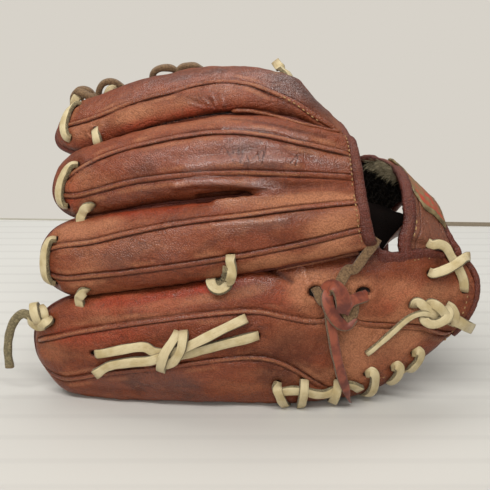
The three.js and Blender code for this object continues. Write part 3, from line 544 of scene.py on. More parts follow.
def sweep(at, out, section, scale=None, paint_of=None, twist=0.0):
    """A closed bar: the section, turned by twist, stands across the line at each place."""
    along = unit(np.gradient(at, axis=0))
    side = unit(np.cross(along, out))
    up = np.cross(side, along)
    turn = np.broadcast_to(np.radians(twist), (len(at),))[:, None]
    side, up = side * np.cos(turn) + up * np.sin(turn), up * np.cos(turn) - side * np.sin(turn)
    size = np.ones((len(at), 2)) if scale is None else scale
    rings = (
        at[:, None]
        + side[:, None] * (section[None, :, :1] * size[:, None, :1])
        + up[:, None] * (section[None, :, 1:] * size[:, None, 1:])
    )
    count, around = rings.shape[:2]
    index = np.arange(count * around).reshape(count, around)
    ahead = np.roll(index, -1, axis=1)
    sides = np.stack([index[:-1], index[1:], ahead[1:], ahead[:-1]], axis=-1).reshape(-1, 4)
    first, last = np.full(around, count * around), np.full(around, count * around + 1)
    ends = [
        np.stack([first, index[0], ahead[0], first], axis=-1),
        np.stack([last, ahead[-1], index[-1], last], axis=-1),
    ]
    points = np.vstack([rings.reshape(-1, 3), rings[0].mean(axis=0), rings[-1].mean(axis=0)])
    run = run_along(at)
    across, up = (np.tile(section[:, k], count) for k in range(2))
    flow = np.stack([np.repeat(run, around), across, up], axis=1)
    flow = np.vstack([flow, [run[0], 0, 0], [run[-1], 0, 0]])
    paint = np.zeros((len(points), 4))
    if paint_of is not None:
        paint[:-2] = paint_of(run, section).reshape(-1, 4)
        # The end caps get 1 in the first mask: the cut colour on laces and thongs, painted black shade on
        # leather.
        paint[-2:] = (1, 0, 0, 0)
    return shell(points, np.vstack([sides, *ends]), paint, flow)


# The long seams of the backs, from the fingertips to the wrist, and the skin each one lies on.
def seam(skin, *rows):
    return skin, table("x t", *rows)


SEAMS = {
    "index_welt": seam("index", (-119, 0.385), (-112, 0.39), (-76, 0.4), (-47, 0.41), (-20, 0.46),
        (2, 0.42), (18, 0.33), (32, 0.25), (59, 0.235)),
    "middle_upper_welt": seam("middle", (-114, 0.47), (-104, 0.51), (-86, 0.58), (-59, 0.61), (-26, 0.625),
        (12, 0.6), (32, 0.565), (62, 0.545)),
    "middle_lower_welt": seam("middle", (-115, 0.27), (-110, 0.29), (-76, 0.33), (-44, 0.335), (-10, 0.325),
        (28, 0.31), (62, 0.29)),
    "ring_upper_welt": seam("ring", (-120, 0.59), (-113, 0.59), (-92, 0.59), (-71, 0.625), (-40, 0.665),
        (0, 0.675), (30, 0.695), (66, 0.735)),
    "ring_lower_welt": seam("ring", (-120, 0.3), (-112, 0.32), (-94, 0.345), (-66, 0.348), (-14, 0.36),
        (15, 0.37), (40, 0.39), (70, 0.44)),
    "pinky_upper_welt": seam("pinky", (-129, 0.58), (-122, 0.6), (-94, 0.645), (-61, 0.675), (-24, 0.677),
        (5, 0.655), (25, 0.6), (41, 0.565), (64, 0.554), (82, 0.52), (97, 0.45), (111, 0.355), (128, 0.1)),
    "pinky_lower_welt": seam("pinky", (-127, 0.25), (-118, 0.31), (-91, 0.405), (-52, 0.448), (-15, 0.47),
        (8, 0.465), (20, 0.44), (32, 0.385), (44, 0.3), (50, 0.25)),
    "thumb_welt": seam("thumb", (-97, 0.5), (-90, 0.5), (-55, 0.47), (-10, 0.45), (20, 0.46), (50, 0.42),
        (98, 0.355)),
}

# Where laces and the thong pass through the leather: x and t on each skin.
HOLES = {
    "index": [(-95, 0.25), (-110, 0.665), (-113, 0.195), (28.5, 0.76)],
    "middle": [(-92.5, 0.15), (-103, 0.565), (-110, 0.13)],
    "ring": [(-95, 0.165), (-8.1, 0.37), (-114.5, 0.69), (-116.5, 0.17)],
    "pinky": [(-92, 0.514), (7, 0.542), (-118, 0.755), (20, 0.335), (36, 0.34), (57, 0.29),
              (74, 0.24), (91, 0.155), (103.5, 0.19), (101, 0.6), (111, 0.99), (111, 0.834), (134.8, 0.58)],
    "thumb": [(-88, 0.23), (-88, 0.77), (59.5, 0.71), (75.5, 0.71), (89.8, 0.71)],
}
# Slots for the thong and some laces: x and t of the middle, and half the length and height in mm.
SLOTS = {
    "index": [(-95.8, 0.215, 2.6, 2.0)],
    "pinky": [(41.5, 0.7, 4.6, 3.4), (70, 0.725, 4.4, 3.0), (-91.3, 0.515, 2.2, 1.7), (6.6, 0.541, 1.8, 1.6)],
}

# Swellings and hollows of the leather: x, t, half length, half width in t, height in millimetres.
FOLDS = {
    "index": [(20, 0.2, 26, 0.1, 1.0), (-20, 0.06, 36, 0.05, -1.2)],
    "middle": [(-78, 0.5, 30, 0.1, 0.6), (-10, 0.08, 30, 0.05, -0.6)],
    "ring": [(-12, 0.96, 26, 0.04, -1.6), (-20, 0.86, 30, 0.07, 0.8)],
    "pinky": [(-18, 0.8, 12, 0.04, -0.9), (-6, 0.9, 22, 0.06, 1.4), (28, 0.78, 18, 0.05, -0.8),
              (84, 0.72, 16, 0.1, 1.4), (56, 0.82, 12, 0.06, 1.0), (56, 0.66, 9, 0.05, -1.8),
              (95, 0.34, 22, 0.1, 1.2), (99, 0.6, 8, 0.06, -1.1)],
}

# Fields of fine crossing cracks: x, t, half length, half width in t, and how far the cracks turn.
CRACKS = {
    "index": [(-95, 0.25, 20, 0.12, 20)],
    "middle": [(-85, 0.4, 26, 0.12, 30)],
    "ring": [(-55, 0.45, 24, 0.12, 40), (-5, 0.22, 10, 0.1, 60)],
    "pinky": [(12, 0.8, 22, 0.12, 60), (-60, 0.58, 30, 0.08, 20), (112, 0.35, 20, 0.1, 70)],
}

# Single cracks and ridges: half width and height in mm, how dark the painted shade along them is and how
# glossy, and spots of x and t; above 0.95 the shade is painted black, as along the crevices under the index
# finger and above the slit.
CRACK = (0.42, -0.4, 1.1, 0.0)
MARKS = {
    "index": [
        (0.8, 0.5, 0.0, 0.6, (-24.2, 0.24), (-21.5, 0.18), (-19.9, 0.133)),
        (0.8, 0.5, 0.0, 0.6, (-19.3, 0.265), (-18, 0.2), (-17.5, 0.14)),
        (0.7, -0.5, 0.4, 0.0, (-21.7, 0.258), (-19.6, 0.19), (-18.7, 0.131)),
        (0.7, 0.5, 0.0, 0.6, (-13.8, 0.268), (-12.9, 0.2), (-12.7, 0.143)),
        (0.7, -0.5, 0.4, 0.0, (-16.4, 0.268), (-15.2, 0.2), (-14.6, 0.143)),
        (0.8, 0.5, 0.0, 0.6, (-33.3, 0.229), (-29, 0.18), (-24.8, 0.145)),
        (0.7, -0.4, 0.3, 0.0, (-35.9, 0.308), (-31, 0.25), (-27.2, 0.2)),
        (1.5, -0.6, 1.35, 0.0, (-66, 0.022), (-58.7, 0.032), (-39.8, 0.04), (-21.3, 0.043), (-12.7, 0.043),
         (-7.2, 0.055)),
        (0.9, -0.3, 0.95, 0.0, (-5.4, 0.104), (3, 0.097), (12, 0.072), (21, 0.03), (30, 0.01), (38.9, 0.055),
         (47.9, 0.122), (55.4, 0.215)),
    ],
    "middle": [
        (*CRACK, (-11, 0.501), (-9.2, 0.469), (-7.5, 0.434), (-5.8, 0.397)),
        (*CRACK, (-7.5, 0.504), (-6.9, 0.474)),
        (*CRACK, (-4, 0.5), (-3.5, 0.467), (-2.9, 0.44), (-2.3, 0.404)),
        (*CRACK, (-2.3, 0.532), (-1.7, 0.48), (-1.2, 0.44), (-0.6, 0.388)),
        (*CRACK, (7.5, 0.482), (8.1, 0.45), (8.6, 0.413)),
        (*CRACK, (10.4, 0.503), (10.9, 0.478), (10.3, 0.444), (9.8, 0.398)),
        (*CRACK, (12.1, 0.509), (11.5, 0.485), (10.9, 0.452)),
        (*CRACK, (9.8, 0.495), (7.5, 0.47), (4.6, 0.434)),
        (*CRACK, (30, 0.485), (28.2, 0.448), (25.9, 0.407)),
        (*CRACK, (30.5, 0.472), (29.9, 0.434), (28.7, 0.391)),
        (*CRACK, (1.2, 0.455), (2.3, 0.411)),
        (*CRACK, (-8.1, 0.554), (-11.6, 0.516), (-13.3, 0.501)),
        (3.2, 2.0, 0.0, 1.0, (-34, 0.385), (-17.3, 0.397), (-5.8, 0.404), (5.7, 0.412), (17.2, 0.418),
         (30, 0.42)),
        (2.6, -1.0, 0.25, 0.0, (-40, 0.47), (-10, 0.48), (14, 0.485), (38, 0.48)),
        (2.9, 3.0, 0.0, 1.0, (-40, 0.25), (-24, 0.255), (-11.6, 0.236), (0, 0.214), (9.8, 0.175),
         (17, 0.11), (21, 0.04), (22.5, 0.0)),
        (3.0, -2.4, 1.1, 0.0, (-26, 0.045), (-8, 0.04), (5, 0.03), (13, 0.005)),
        (1.6, -0.5, 0.6, 0.0, (-8, 0.78), (5.9, 0.745), (14.6, 0.727), (23.3, 0.705), (35, 0.69), (47, 0.69)),
        (1.6, 0.6, 0.0, 0.8, (-12, 0.645), (9.9, 0.638), (24, 0.63), (36, 0.6)),
    ],
    "ring": [
        (2.2, 1.2, 0.0, 0.9, (-18, 0.612), (-2, 0.6), (11.4, 0.588), (24, 0.584)),
        (2.9, 2.2, 0.0, 0.7, (22.5, 1.0), (20.5, 0.955), (13, 0.91), (0, 0.875), (-16, 0.86)),
    ],
    "pinky": [
        (2.3, -1.7, 0.7, 0.0, (10, 0.985), (14.3, 0.943), (18.3, 0.886), (23, 0.834), (27.6, 0.791)),
        (2.6, 1.8, 0.0, 0.9, (32.4, 0.95), (33.2, 0.906), (34.8, 0.833), (36.4, 0.778), (38.1, 0.737)),
        (3.0, 0.9, 0.0, 0.5, (-10, 0.86), (3, 0.84), (14.7, 0.787)),
    ],
}

# Wear and colour on the leather: kind, x, t, half length, half width in t, strength.
# The dark patches are partly darker leather and partly painted shade beside the gaps between fingers and
# above the slit.
PATCHES = {
    "index": [
        ("worn", -98, 0.28, 22, 0.13, 0.5), ("stain", -45, 0.1, 45, 0.08, 0.6),
        ("worn", -60, 0.24, 34, 0.12, 0.55), ("dark", 33, 0.45, 26, 0.28, 0.75),
        ("dark", -30, 0.62, 70, 0.12, 0.4), ("gloss", 10, 0.5, 40, 0.2, 0.6),
        ("worn", -116, 0.6, 8, 0.2, 0.5), ("gloss", -60, 0.52, 45, 0.1, 0.35),
        ("dark", 0, 0.1, 30, 0.1, 0.5),
    ],
    "middle": [
        ("worn", -20, 0.76, 45, 0.1, 0.45), ("dark", 10, 0.45, 55, 0.12, 0.3),
        ("gloss", 5, 0.47, 65, 0.12, 0.7), ("worn", -95, 0.4, 24, 0.12, 0.45),
        ("stain", -110, 0.32, 8, 0.2, 0.4), ("dark", 10, 0.17, 50, 0.09, 0.5),
        ("gloss", -60, 0.2, 30, 0.09, 0.45),
    ],
    "ring": [
        ("worn", 35, 0.82, 45, 0.14, 0.95), ("worn", 54, 0.45, 20, 0.22, 0.8),
        ("worn", 30, 0.2, 50, 0.13, 0.8), ("stain", -60, 0.87, 25, 0.09, 0.5),
        ("dark", -70, 0.5, 35, 0.12, 0.35), ("gloss", -70, 0.5, 40, 0.12, 0.35),
        ("dark", -10, 0.97, 16, 0.06, 0.7), ("stain", -30, 0.9, 18, 0.06, 0.4),
        ("worn", -95, 0.75, 30, 0.12, 0.6), ("gloss", 0, 0.6, 60, 0.06, 0.4),
    ],
    "pinky": [
        ("stain", -18, 0.88, 16, 0.08, 0.95), ("stain", 26, 0.72, 16, 0.07, 0.45),
        ("stain", -55, 0.84, 45, 0.1, 0.5), ("stain", 94, 0.66, 12, 0.1, 0.8),
        ("worn", 88, 0.4, 40, 0.24, 0.9), ("worn", 110, 0.6, 26, 0.16, 0.9),
        ("dark", 25, 0.44, 26, 0.14, 0.7), ("dark", -60, 0.33, 60, 0.12, 0.45),
        ("stain", -90, 0.62, 30, 0.06, 0.4), ("gloss", -60, 0.38, 50, 0.08, 0.4),
        ("worn", -70, 0.7, 50, 0.06, 0.4), ("dark", 115, 0.2, 30, 0.12, 0.4),
        ("worn", -30, 0.78, 60, 0.05, 0.5), ("worn", 92, 0.72, 16, 0.12, 0.7),
        ("worn", 48, 0.74, 30, 0.13, 0.85),
    ],
    "thumb": [
        ("worn", -60, 0.7, 50, 0.14, 0.5), ("dark", 20, 0.25, 50, 0.2, 0.45),
        ("worn", 70, 0.8, 30, 0.15, 0.6), ("gloss", -20, 0.5, 60, 0.2, 0.4),
    ],
}
KINDS = ("dark", "worn", "stain", "gloss")


def nearest(points, line):
    """Each point's distance to a line given as close points, as the least of the distances."""
    flat = points.reshape(-1, 3)
    middle = line.mean(axis=0)
    flat, line = flat - middle, line - middle
    squares = (flat**2).sum(axis=1)[:, None] + (line**2).sum(axis=1) - 2 * flat @ line.T
    return np.sqrt(np.maximum(squares.min(axis=1), 0)).reshape(points.shape[:-1])


def seam_line(rows, skin, count=400):
    x = np.linspace(rows["x"][0], rows["x"][-1], count)
    return SKINS[skin](x, column(rows, "t", x), 0.0)


def creases(points, seed, long, short, turn=0.0):
    """Thin valleys, 0 to 1, where smooth noise crosses zero: stretched to long along x, short across."""
    angle = math.radians(turn)
    x = points[..., 0] * math.cos(angle) - points[..., 2] * math.sin(angle)
    z = points[..., 0] * math.sin(angle) + points[..., 2] * math.cos(angle)
    stretched = np.stack([x * short / long, points[..., 1], z], axis=-1)
    return bell(ripple(stretched, short, seed, 14), 0.13)


def on_skin(skin, x, t):
    return SKINS[skin](np.array([float(x)]), np.array([float(t)]), 0.0)


def marks(points, skin):
    """The single cracks and ridges of a skin: their height, their darkness as painted shade, and gloss at
    each point.

    The middle and ring fingers share theirs, because their backs are one piece past their slit.
    """
    owners = ("middle", "ring") if skin in ("middle", "ring") else (skin,)
    high, dark, gloss = (np.zeros(points.shape[:-1]) for _ in range(3))
    for owner in owners:
        for half, height, darkness, shine, *spots in MARKS.get(owner, ()):
            line_x, line_t = catmull(np.array(spots) * (1, 100), np.linspace(0, 1, 80)).T
            near = bell(nearest(points, SKINS[owner](line_x, line_t / 100, 0.0)), half)
            high += height * near
            dark = np.maximum(dark, darkness * near)
            gloss = np.maximum(gloss, shine * near**0.5)
    return high, dark, gloss


def relief(points, skin, x, t, seed, bond=0.0):
    """How far leather stands off its skin, and its paint of dark, worn, stain and gloss.

    Panels swell between seams, a groove runs on both sides of each seam, lace holes pull the leather
    in, and creases and slow waves cover it. Grooves, creases, cracks and dark marks get painted shade,
    holes, slots and the darkest marks are painted black as shade, and crowns are worn. Panel edges get
    painted shade too; where bond is 1 the panel runs on into its neighbour, so its edge gets none.
    """
    reach = np.full(points.shape[:-1], 60.0)
    for on, rows in SEAMS.values():
        if on == skin:
            reach = np.minimum(reach, nearest(points, seam_line(rows, skin)))
    holes = np.full(points.shape[:-1], 60.0)
    for spot in HOLES[skin]:
        holes = np.minimum(holes, nearest(points, on_skin(skin, *spot)))
    slots = np.full(points.shape[:-1], 9.0)
    for x0, t0, long, high in SLOTS.get(skin, ()):
        away = (points - on_skin(skin, x0, t0)) / (long, 99, high)
        slots = np.minimum(slots, np.linalg.norm(away, axis=-1))
    valleys = np.maximum(creases(points, seed, 60, 11, 8), 0.6 * creases(points, seed + 1, 24, 7, -20))
    fold = smooth(-0.3, 1.2, ripple(points, 42, seed + 2))
    groove = bell(reach - 1.85, 0.44)
    lift = 0.6 - 1.5 * np.exp(-reach / 6.5) - 0.8 * groove
    lift += 0.35 * ripple(points, 26, seed + 3) + 0.12 * ripple(points, 9, seed + 4)
    lift -= 0.35 * valleys * fold * smooth(2, 6, reach)
    lift -= 1.5 * bell(holes, 3.2) - 0.5 * bell(holes - 5.5, 2.5)
    lift -= 2.4 * smooth(1.25, 0.75, slots) - 0.7 * bell(slots - 1.7, 0.4)
    for *where, high in FOLDS.get(skin, ()):
        lift += high * np.exp(-away_from(x, t, *where))
    cloud = ripple(points, 34, seed + 5)
    paint = np.zeros(points.shape[:-1] + (4,))
    for kind, *where, strength in PATCHES.get(skin, ()):
        away = np.maximum(away_from(x, t, *where) + 0.35 * cloud, 0)
        channel = KINDS.index(kind)
        paint[..., channel] = np.maximum(paint[..., channel], strength * np.exp(-(away**1.4)))
    side = 34 * np.minimum(t, 1 - t)
    cracked = np.zeros_like(lift)
    for *where, turn in CRACKS.get(skin, ()):
        here = np.exp(-away_from(x, t, *where)) * creases(points, seed + 7, 15, 5, turn)
        cracked = np.maximum(cracked, here)
    lift -= 0.3 * cracked
    _, drawn, shine = marks(points, skin)
    paint[..., 3] = np.maximum(paint[..., 3], shine)
    # Painted shade in the grooves beside seams, in creases and cracks, along the dark marks, and along a
    # panel's edges where it meets its neighbour.
    shade = np.maximum.reduce([0.8 * groove, 0.3 * valleys * fold, 0.5 * cracked, drawn,
                               0.8 * bell(side, 3.2) * (1 - bond)])
    paint[..., 0] = np.minimum(np.maximum(paint[..., 0], shade), 0.8)
    # Holes, slots and the darkest marks are painted black: painted shade.
    black = np.maximum(smooth(2.6, 1.7, holes), smooth(1.1, 0.9, slots))
    black = np.maximum(black, smooth(0.95, 1.25, drawn))
    paint[..., 0] = np.maximum(paint[..., 0], black)
    paint[..., 1] = np.maximum(paint[..., 1], 0.5 * bell(reach - 4.5, 2) * smooth(-0.2, 0.8, cloud))
    return lift, paint


# Rows lie closest where a finger's fine cracks are: share of the rows, share of x.
ROW_SHARES = {
    "index": ((0, 0.4, 0.76, 1), (0, 0.46, 0.66, 1)),
    "middle": ((0, 0.3, 0.92, 1), (0, 0.6, 0.9, 1)),
}
# Rows round a fingertip, and each back's rows past its tip and points across.
TIP_ROWS = 40
BACK_GRID = {"middle": (300, 121), "index": (240, 131), "ring": (190, 141), "pinky": (230, 151)}


def stations(name, tip_rows, run_rows, end, lift=0.0):
    """Rows of x from a fingertip to end, one value a column; they lie closer round the tip."""
    start, reach = FINGERS[name]["x"][0], TIP_ROUND[name]
    turn = np.radians(np.linspace(90, 0, tip_rows + 1))
    tip = start + reach - (reach + lift) * np.sin(turn)
    share = np.interp(np.linspace(0, 1, run_rows + 1), *ROW_SHARES.get(name, ((0, 1), (0, 1))))
    run = mix(start + reach, end, share[1:, None])
    return np.vstack([np.broadcast_to(tip[:, None], (len(tip), run.shape[1])), run])


def tip_fade(name, x):
    return smooth(FINGERS[name]["x"][0], FINGERS[name]["x"][0] + 5, x)


def finger_back(name, ends, seed):
    """A finger's back: its skin from the tip to the hand opening, 3 mm thick, with its relief."""
    rows, columns = BACK_GRID[name]
    t = np.linspace(0, 1, columns)
    end = mix(*ends, t) if ends else heel_end(t)
    grids = [stations(name, TIP_ROWS, rows, end, lift) for lift in (0.0, -LEATHER)]
    across = np.broadcast_to(t, grids[0].shape)
    if name == "pinky":
        across = across * (1 - opening_dip(grids[0]))
    outer, inner = SKINS[name](grids[0], across, 0.0), SKINS[name](grids[1], across, -LEATHER)
    edge = smooth(0, 0.03, across) * smooth(0, 0.03, 1 - across)
    bond = np.zeros_like(across)
    if name in ("middle", "ring"):
        outer = join_backs(name, grids[0], across, outer, 0.0)
        inner = join_backs(name, grids[1], across, inner, -LEATHER)
        inwards = across if name == "middle" else 1 - across
        bond = joined(grids[0]) * smooth(0.14, 0.0, inwards)
    lift, paint = relief(outer, name, grids[0], across, seed, bond)
    lift = mix(lift * mix(0.25, 1, edge), 0.4, bond) + marks(outer, name)[0]
    return wall_shell(outer, inner, lift * tip_fade(name, grids[0]), paint)


# The share of a back, next to its neighbour, that bends over to it.
BEND = 0.2


def joined(x):
    """1 where the backs of the middle and ring fingers are one piece, past the end of their slit."""
    return smooth(-5, 12, x)


def join_backs(name, x, t, points, lift):
    """Bends the two fingers' neighbouring edges along a smooth curve from one back to the other."""
    if name == "middle":
        share = np.clip((BEND - t) / BEND, 0, 1) * 0.56
        over = np.maximum(share - 0.5, 0)
    else:
        share = 1 - np.clip((t - 1 + BEND) / BEND, 0, 1) * 0.56
        over = np.maximum(0.5 - share, 0)
    upper, lower = SKINS["middle"], SKINS["ring"]
    start, end = upper(x, BEND, lift), lower(x, 1 - BEND, lift)
    reach = np.linalg.norm(end - start, axis=-1, keepdims=True)
    leave = unit(start - upper(x, BEND + 0.01, lift)) * reach
    arrive = unit(lower(x, 1 - BEND - 0.01, lift) - end) * reach
    s = share[..., None]
    curve = (2 * s**3 - 3 * s**2 + 1) * start + (s**3 - 2 * s**2 + s) * leave
    curve += (3 * s**2 - 2 * s**3) * end + (s**3 - s**2) * arrive
    curve[..., 1] += 14 * over
    bends = (t < BEND) if name == "middle" else (t > 1 - BEND)
    return np.where(bends[..., None], mix(points, curve, joined(x)[..., None]), points)


def opening_dip(x):
    """How far in t the heel's upper edge sinks where the hand opening dips into it."""
    return 0.05 * smooth(72, 84, x) * smooth(132, 112, x)


def heel_end(t):
    return HEEL_END + 2 * t + HEEL_ROUND * np.sin(math.pi * t) ** 0.7


def thumb_edge(share):
    return column(THUMB_EDGE, "edge", share)


# Where the palm's side ends towards the wrist, by share of the arch.
PALM_EDGE = table(
    "x edge", (0, 122), (0.12, 121), (0.2, 104), (0.27, 89), (0.3, 88), (0.35, 97), (0.39, 106), (0.43, 112),
    (0.48, 115), (0.53, 115), (0.59, 110), (0.65, 98), (0.7, 90), (0.75, 87), (0.8, 90), (0.86, 94), (1, 94)
)


def palm_end(share):
    return column(PALM_EDGE, "edge", share)


def thumb_grid(lift):
    """The thumb's back from its tip, joined along the hand to the crotch beside it, with its x and t."""
    crotch, across, tip, run, hand = 50, 90, 36, 60, 80
    t = np.concatenate([np.linspace(0, 1, crotch + 1)[:-1], np.linspace(0, 1, across + 1)])
    in_crotch = np.arange(len(t)) < crotch
    thumb_t = np.where(in_crotch, 0, t)
    arch = np.where(in_crotch, mix(*SHARES["crotch"], t), mix(*SHARES["thumb"], t))
    start = np.where(in_crotch, BASE_X + CROTCH_DEPTH * np.sin(math.pi * t), BASE_X)

    def on_hand(x):
        leather_at = SKINS["thumb"](x, np.broadcast_to(thumb_t, x.shape), lift)
        return np.where(in_crotch[None, :, None], hand_point(x, arch, hand_weight(x), lift), leather_at)

    finger_x = stations("thumb", tip, run, np.full(len(t), BASE_X), lift)
    finger_t = np.broadcast_to(thumb_t, finger_x.shape)
    hand_x = mix(start, thumb_edge(arch), np.linspace(0, 1, hand + 1)[1:, None])
    # The crotch's first row lies behind the base of the thumb, so the last finger row is moved there.
    finger = SKINS["thumb"](finger_x, finger_t, lift)[:-1]
    points = np.vstack([finger, on_hand(start[None]), on_hand(hand_x)])
    present = np.ones((tip + run + hand, len(t) - 1), bool)
    present[: tip + run, :crotch] = False
    ts = np.vstack([finger_t, np.broadcast_to(t, hand_x.shape)])
    return points, np.vstack([finger_x, hand_x]), ts, present


def thumb_back(seed):
    outer, x, t, present = thumb_grid(0.0)
    inner = thumb_grid(-LEATHER)[0]
    lift, paint = relief(outer, "thumb", x, t, seed)
    fade = np.where(x < BASE_X, tip_fade("thumb", x), 1)
    return wall_shell(outer, inner, lift * fade, paint, present)


def palm_grid(depth):
    """The pocket side: each finger's lower face from its tip, then the hand, then the thumb."""
    blocks = ("pinky", "ring", "middle", "index", "crotch", "thumb")
    across, tip, run, hand = 30, 24, 44, 80
    t = np.linspace(0, 1, across + 1)
    points, xs, shares = [], [], []
    for block in blocks:
        share = mix(*SHARES[block], t)
        hollow = BASE_X + (0 if block != "crotch" else CROTCH_DEPTH * np.sin(math.pi * t))
        hand_x = mix(hollow, palm_end(share), np.linspace(0, 1, hand + 1)[:, None])
        angle = mix(269.5, 90.5, t)
        if block == "crotch":
            body = hand_point(hand_x, share, -hand_weight(hand_x), depth)
            head, head_x = (np.repeat(grid[:1], tip + run, axis=0) for grid in (body, hand_x))
        else:
            as_hand = hand_point(hand_x, share, -1.0, depth)
            as_finger = finger_point(block, hand_x, angle, depth)
            body = mix(as_finger, as_hand, hand_weight(hand_x)[..., None])
            head_x = stations(block, tip, run, np.full(across + 1, BASE_X), depth)[:-1]
            head = finger_point(block, head_x, angle, depth)
        points.append(np.concatenate([head, body]))
        xs.append(np.vstack([head_x, hand_x]))
        shares.append(np.broadcast_to(share, xs[-1].shape))
    present = np.ones((tip + run + hand, len(blocks) * (across + 1) - 1), bool)
    column_of = np.arange(present.shape[1])
    bridge = column_of % (across + 1) == across
    absent = bridge | (column_of // (across + 1) == blocks.index("crotch"))
    present[: tip + run, absent] = False
    return np.concatenate(points, axis=1), np.hstack(xs), np.hstack(shares), present


def palm(seed):
    """The palm: smooth and dark in the pocket, creased where the heel folds."""
    outer, x, share, present = palm_grid(0.0)
    inner = palm_grid(-PALM_PAD)[0]
    cushion = 11 * smooth(84, 102, x) * bell(share - 0.38, 0.06)
    inner = inner + unit(inner - outer) * cushion[..., None]
    valleys = np.maximum(creases(outer, seed, 40, 14, 30), 0.6 * creases(outer, seed + 1, 20, 8, -30))
    lift = 0.5 * ripple(outer, 30, seed + 2) + 0.15 * ripple(outer, 9, seed + 3) - 0.5 * valleys
    pocket = np.exp(-away_from(x, share, 20, 0.5, 70, 0.25))
    # The fold at the forefinger's root, beside the web's upper end, is painted black: painted shade.
    fork_shade = np.exp(-(((share - 0.575) / 0.045) ** 4)) * smooth(6, 12, x) * smooth(62, 46, x)
    # The pocket is darker, and its creases get painted shade.
    dark = np.maximum(np.clip(0.65 * pocket + 0.35 * valleys, 0, 1), fork_shade)
    worn = np.clip(0.5 * smooth(0, 1.2, ripple(outer, 36, seed + 4)), 0, 1)
    paint = painted(dark, worn, gloss=0.5 * pocket)
    return wall_shell(outer, inner, lift * mix(0.2, 1, smooth(-122, -112, x)) - 0.2, paint, present)


# The web, its rows along the forefinger and its columns across; two windows beside a middle bar.
WEB_ROWS = (1, -9, -20, -34, -48, -62, -77, -90, -103, WEB_TIP)
WEB_SHARES = (0.06, 0.16, 0.27, 0.38, 0.5, 0.62, 0.73, 0.84, 0.94)


def subdivide(values, parts):
    places = np.linspace(0, len(values) - 1, (len(values) - 1) * parts + 1)
    return np.interp(places, np.arange(len(values)), values)


def web(seed):
    """The web's wall; the leather rolls over at its edges and at its windows."""
    parts = 14
    rows, shares = subdivide(WEB_ROWS, parts), subdivide(WEB_SHARES, parts)
    cell_row, cell_column = np.indices((len(rows) - 1, len(shares) - 1)) // parts
    present = (cell_row < 3) | (cell_row > 5) | ((cell_column > 2) & (cell_column < 5))
    reach = np.maximum(1 - np.arange(len(rows)) / (3 * parts), 0)[:, None]
    v = np.broadcast_to(shares, (len(rows), len(shares)))
    x = rows[:, None] + reach * 0.55 * CROTCH_DEPTH * np.sin(math.pi * v)
    outer, inner = web_skin(x, v, 0.0), web_skin(x, v, -LEATHER)
    padded = np.pad(present, 1)
    open_corner = ~(padded[:-1, :-1] & padded[:-1, 1:] & padded[1:, :-1] & padded[1:, 1:])
    edge = nearest(outer, outer[open_corner])
    valleys = creases(outer, seed, 30, 10, 40)
    lift = -1.1 * bell(edge, 1.6) - 0.45 * bell(edge - 4.6, 0.7)
    lift += 0.3 * ripple(outer, 22, seed + 1) * smooth(0, 6, edge) - 0.35 * valleys * smooth(3, 8, edge)
    # Painted shade in the groove beside the rolled edges and in the creases.
    dark = np.clip(0.8 * bell(edge - 4.6, 0.8) + 0.35 * valleys, 0, 1)
    worn = np.clip(0.6 * bell(edge - 1.5, 1.5) + 0.3 * smooth(0, 1, ripple(outer, 30, seed)), 0, 1)
    return wall_shell(outer, inner, lift, painted(dark, worn), present)


# The wrist strap. u runs along it from the heel and v across it, from its near edge to its far one.
def strap_near(u):
    """x of the strap's near edge, which swings towards the fingers at its foot and at its far end."""
    return column(STRAP, "near", u) - 5.6 * bell(u, 0.11) - 15 * bell(u - 0.75, 0.15)


def strap_skin(u, v, lift=0.0):
    """The strap's face; below u 0 it runs on and slips under the leather of the heel."""
    x = mix(strap_near(u), column(STRAP, "far", u), v)
    share = mix(column(STRAP, "nearShare", u), column(STRAP, "farShare", u), v)
    stands = 5.5 * bell(u - 0.38, 0.17) * smooth(0.1, 0.9, v) - 3.4 * smooth(0.09, 0.0, u)
    return hand_point(x, share + np.minimum(u, 0) * 0.5, 1.0, lift + stands)


def strap(seed):
    u = np.linspace(-0.1, 1, 261)[:, None]
    v = 1 - np.linspace(0, 1, 71)
    outer, inner = strap_skin(u, v, 0.0), strap_skin(u, v, -LEATHER)
    u, v = np.broadcast_to(u, outer.shape[:2]), np.broadcast_to(v, outer.shape[:2])
    width = lengths(outer, 1)
    edge = np.minimum(width, width[:, -1:] - width)
    valleys = creases(outer, seed, 30, 9, 70)
    lift = 0.5 - 0.9 * bell(edge, 1.5) - 0.6 * bell(edge - 5.5, 0.6) - 0.3 * valleys
    lift += 0.25 * ripple(outer, 20, seed + 1)
    # Painted shade in the groove along each edge, in the creases and close to the edges.
    dark = np.clip(0.8 * bell(edge - 5.5, 0.7) + 0.35 * valleys + 0.35 * bell(edge, 3), 0, 1)
    worn = 0.4 * smooth(0, 1, ripple(outer, 24, seed + 2))
    return wall_shell(outer, inner, lift, painted(dark, worn))


# The lower edge of the patch on the strap: u by v.
PATCH_EDGE = table("x u", (0, 0.42), (0.06, 0.35), (0.25, 0.295), (0.37, 0.258), (0.69, 0.245), (1.1, 0.19))


def label(seed):
    """The patch on the strap: a flat raised frame round a field, pointed at both ends."""
    rows, columns = 120, 90
    i, j = np.indices((rows + 1, columns + 1))
    v = mix(0.0, 1.06, i / rows)
    full = np.sqrt(np.maximum(1 - np.abs(2 * (i / rows) - 1) ** 3, 0.0))
    u = column(PATCH_EDGE, "u", v) + 0.34 * np.maximum(full, 0.12) * (j / columns)
    outer, inner = strap_skin(u, v, 2.5), strap_skin(u, v, 0.7)
    across, down = lengths(outer, 1), lengths(outer, 0)
    border = np.minimum.reduce([across, across[:, -1:] - across, down, down[-1:] - down])
    field = smooth(3.4, 4.0, border)
    lift = -0.8 * bell(border, 0.9) - 0.7 * field
    lift += 0.12 * np.sin(i * 2.1) * (1 - field) + 0.12 * ripple(outer, 6, seed)
    paint = painted(0.7 * bell(border - 3.9, 0.4), smooth(3.5, 4.0, border))
    return wall_shell(outer, inner, lift, paint)


